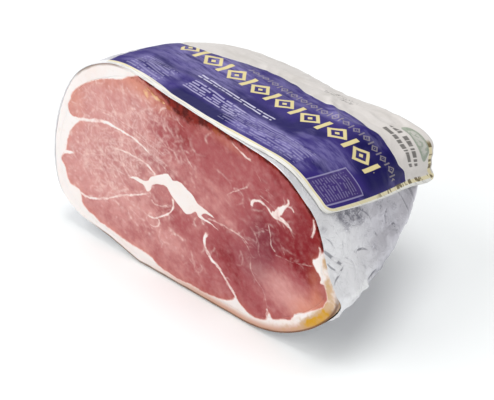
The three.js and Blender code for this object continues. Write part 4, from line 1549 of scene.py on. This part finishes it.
def far_panel(s):
    """The pale panel beyond the purple: rows of dark marks, an oval and a flourish."""
    panel = s.tint(PANEL, PANEL_SHADE, s.fade(s.noise(s.at, 16, 3), 0.45, 0.7), 0.35)
    marks = s.times(s.rows(5.6, 0.55, 1.5, 0.42, 98.6), s.box(13, 44, 98.8, 109.6))
    panel = s.tint(panel, MARK_GREY, marks, 0.85)
    oval = s.length(s.over(s.minus(s.a, 29.0), 14.0), s.over(s.minus(s.p, 115.2), 4.8))
    emblem = s.fade(oval, 1.02, 0.94)
    spots = s.times(emblem, s.fade(s.noise(s.at, 2.2, 2), 0.52, 0.6))
    for where, strength in ((emblem, 0.35), (s.band(oval, 0.7, 1.0, 0.04), 0.7), (spots, 0.6)):
        panel = s.tint(panel, EMBLEM_GREEN, where, strength)
    flourish = s.times(s.threads(s.at, 6, 0.05, 2, 1.2), s.box(76, 98, 109, 119, 2.0))
    return s.tint(panel, MARK_GREY, flourish, 0.8)


def gold_line(s, within):
    """The gold line round the field, by the distance into the field. It is faint in its middle."""
    shown = s.minus(1.0, s.times(s.hump((84, 96), (156, 164)), 0.7))
    shown = s.most(shown, s.fade(s.a, 8, 5))
    return s.times(s.band(within, s.ramp(s.a, 4, 9, -2.6, -1.7), -0.1, 0.15), shown)


def edge_reflections_and_flecks(s, gold_far):
    """Dark dashes along the right edge, a painted dark reflection in its gold, and dark flecks in the far
    gold line.
    """
    ragged = s.noise(s.join(s.times(s.a, 0.35), s.p, 3.0), 3.4, 2.0)
    side = s.times(s.band(s.a, 2.4, 5.6, 0.3), s.fade(s.p, 50, 62))
    flecks = s.fade(s.noise(s.join(s.a, 0.0, 5.0), 3.2, 1.0), 0.48, 0.54)
    return s.most(s.times(s.fade(ragged, 0.49, 0.55), side), s.times(flecks, gold_far))


def label_material():
    """Printed film: a purple field in a gold line, ornaments in gold, a pale panel beyond it."""
    s = Print("printed_label")
    # The distance into the field, which has a rounded corner.
    side_gap = s.most(s.minus(FIELD_SIDE + FIELD_RADIUS, s.a), 0.0)
    near_gap = s.most(s.minus(FIELD_RADIUS, s.minus(s.p, s.near_line())), 0.0)
    within = s.minus(FIELD_RADIUS, s.length(side_gap, near_gap))
    to_far = s.minus(s.far_line(), s.p)
    in_field = s.fade(within, -0.2, 0.2)
    # Painted shade of creases along the cream margin.
    margin_crease_shade = s.noise(s.join(s.times(s.a, 0.12), s.p, 9.0), 1.6, 3.0, 0.6)
    colour = s.tint(CREAM, CREAM_SHADE, s.fade(margin_crease_shade, 0.46, 0.66), 0.7)
    colour = s.mix(s.times(in_field, s.fade(to_far, -0.2, -0.8)), colour, far_panel(s))
    colour = s.mix(s.times(in_field, s.fade(to_far, -0.2, 0.2)), colour, purple_field(s))
    gold_far = s.times(s.band(s.p, 119.5, 122.5, 0.3), s.fade(s.a, 30, 26))
    colour = s.tint(colour, PRINT_GOLD, s.most(gold_line(s, within), gold_far), 0.7)
    # Painted dark reflection on the gold by the right edge, and dark flecks in the far gold line.
    colour = s.tint(colour, DARK_GOLD, edge_reflections_and_flecks(s, gold_far), 0.85)
    normal = s.bump(s.noise(s.at, 7, 4, 0.6), 0.5, 0.5)
    return s.finish(colour=colour, roughness=0.45, normal=normal, specular=0.12, coat=0.06,
                    coat_roughness=0.22)


# The scene. Its lengths are metres.

CAMERA_PLACE = (0.52080, -0.65130, 0.56893)
CAMERA_RIGHT = (0.75287, 0.65606, 0.05265)
CAMERA_UP = (-0.38764, 0.37735, 0.84103)
CAMERA_BACK = (0.53190, -0.65360, 0.53842)
CAMERA_LENS = 109.31
SENSOR_WIDTH = 36
CLIP_START = 0.01
# Round soft lights: name, place, target, size, power.
LIGHTS = [
    ("key", (-1.25, -1.35, 1.25), (0, 0, 0.06), 2.2, 28),
    ("fill", (1.0, -0.5, 0.4), (0.1, 0, 0.06), 0.6, 1.5),
    ("top", (0.0, 0.0, 2.0), (0, 0, 0.06), 1.3, 18),
    ("behind", (-1.0, 1.2, 1.25), (0, 0, 0.08), 0.8, 3),
]
WORLD_STRENGTH = 0.42
FLOOR_HALF = 4.0
FLOOR_COLOUR = (0.955, 0.975, 0.975)
FLOOR_ROUGHNESS = 0.9
LABEL_OUTLINE_POINTS = 1400


def placed(name, data):
    """An object of the scene for its data."""
    made = bpy.data.objects.new(name, data)
    bpy.context.scene.collection.objects.link(made)
    return made


def make_camera():
    """The camera where the photographer stood: right of the cut, looking down on it."""
    data = bpy.data.cameras.new("camera")
    data.sensor_width = SENSOR_WIDTH
    data.lens = CAMERA_LENS
    data.clip_start = CLIP_START
    made = placed("camera", data)
    turn = Matrix((CAMERA_RIGHT, CAMERA_UP, CAMERA_BACK)).transposed().to_4x4()
    made.matrix_world = Matrix.Translation(CAMERA_PLACE) @ turn
    bpy.context.scene.camera = made


def area_light(name, place, target, size, power):
    data = bpy.data.lights.new(name, "AREA")
    data.shape = "DISK"
    data.size = size
    data.energy = power
    made = placed(name, data)
    made.location = place
    aim = Vector(target) - Vector(place)
    made.rotation_mode = "QUATERNION"
    made.rotation_quaternion = aim.to_track_quat("-Z", "Y")


def make_world(strength):
    world = bpy.data.worlds.new("studio")
    world.use_nodes = True
    background = world.node_tree.nodes["Background"]
    background.inputs["Color"].default_value = (1, 1, 1, 1)
    background.inputs["Strength"].default_value = strength
    bpy.context.scene.world = world


def make_floor():
    mesh = bpy.data.meshes.new("floor")
    half = FLOOR_HALF
    corners = [(-half, -half, 0), (half, -half, 0), (half, half, 0), (-half, half, 0)]
    mesh.from_pydata(corners, [], [(0, 1, 2, 3)])
    made = placed("floor", mesh)
    made.data.materials.append(Shader("pale_floor").finish(colour=FLOOR_COLOUR, roughness=FLOOR_ROUGHNESS))


def dress(piece, material, node):
    piece.data.materials.append(material)
    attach(piece, "root")
    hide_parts(node)


outline = cut_outline(RIM_POINTS)
skin_line = outline[:, :2] + [0, HAM_BOTTOM]
meat = cut_material()
dress(make_lean(outline, skin_line), meat, "lean")
dress(make_fat(outline, skin_line), meat, "fat_cover")
dress(make_foil(), foil_material(), "foil_wrap")
dress(make_label(cut_outline(LABEL_OUTLINE_POINTS)), label_material(), "label")

make_floor()
make_camera()
make_world(WORLD_STRENGTH)
for light in LIGHTS:
    area_light(*light)
bpy.context.scene.view_settings.view_transform = "Standard"
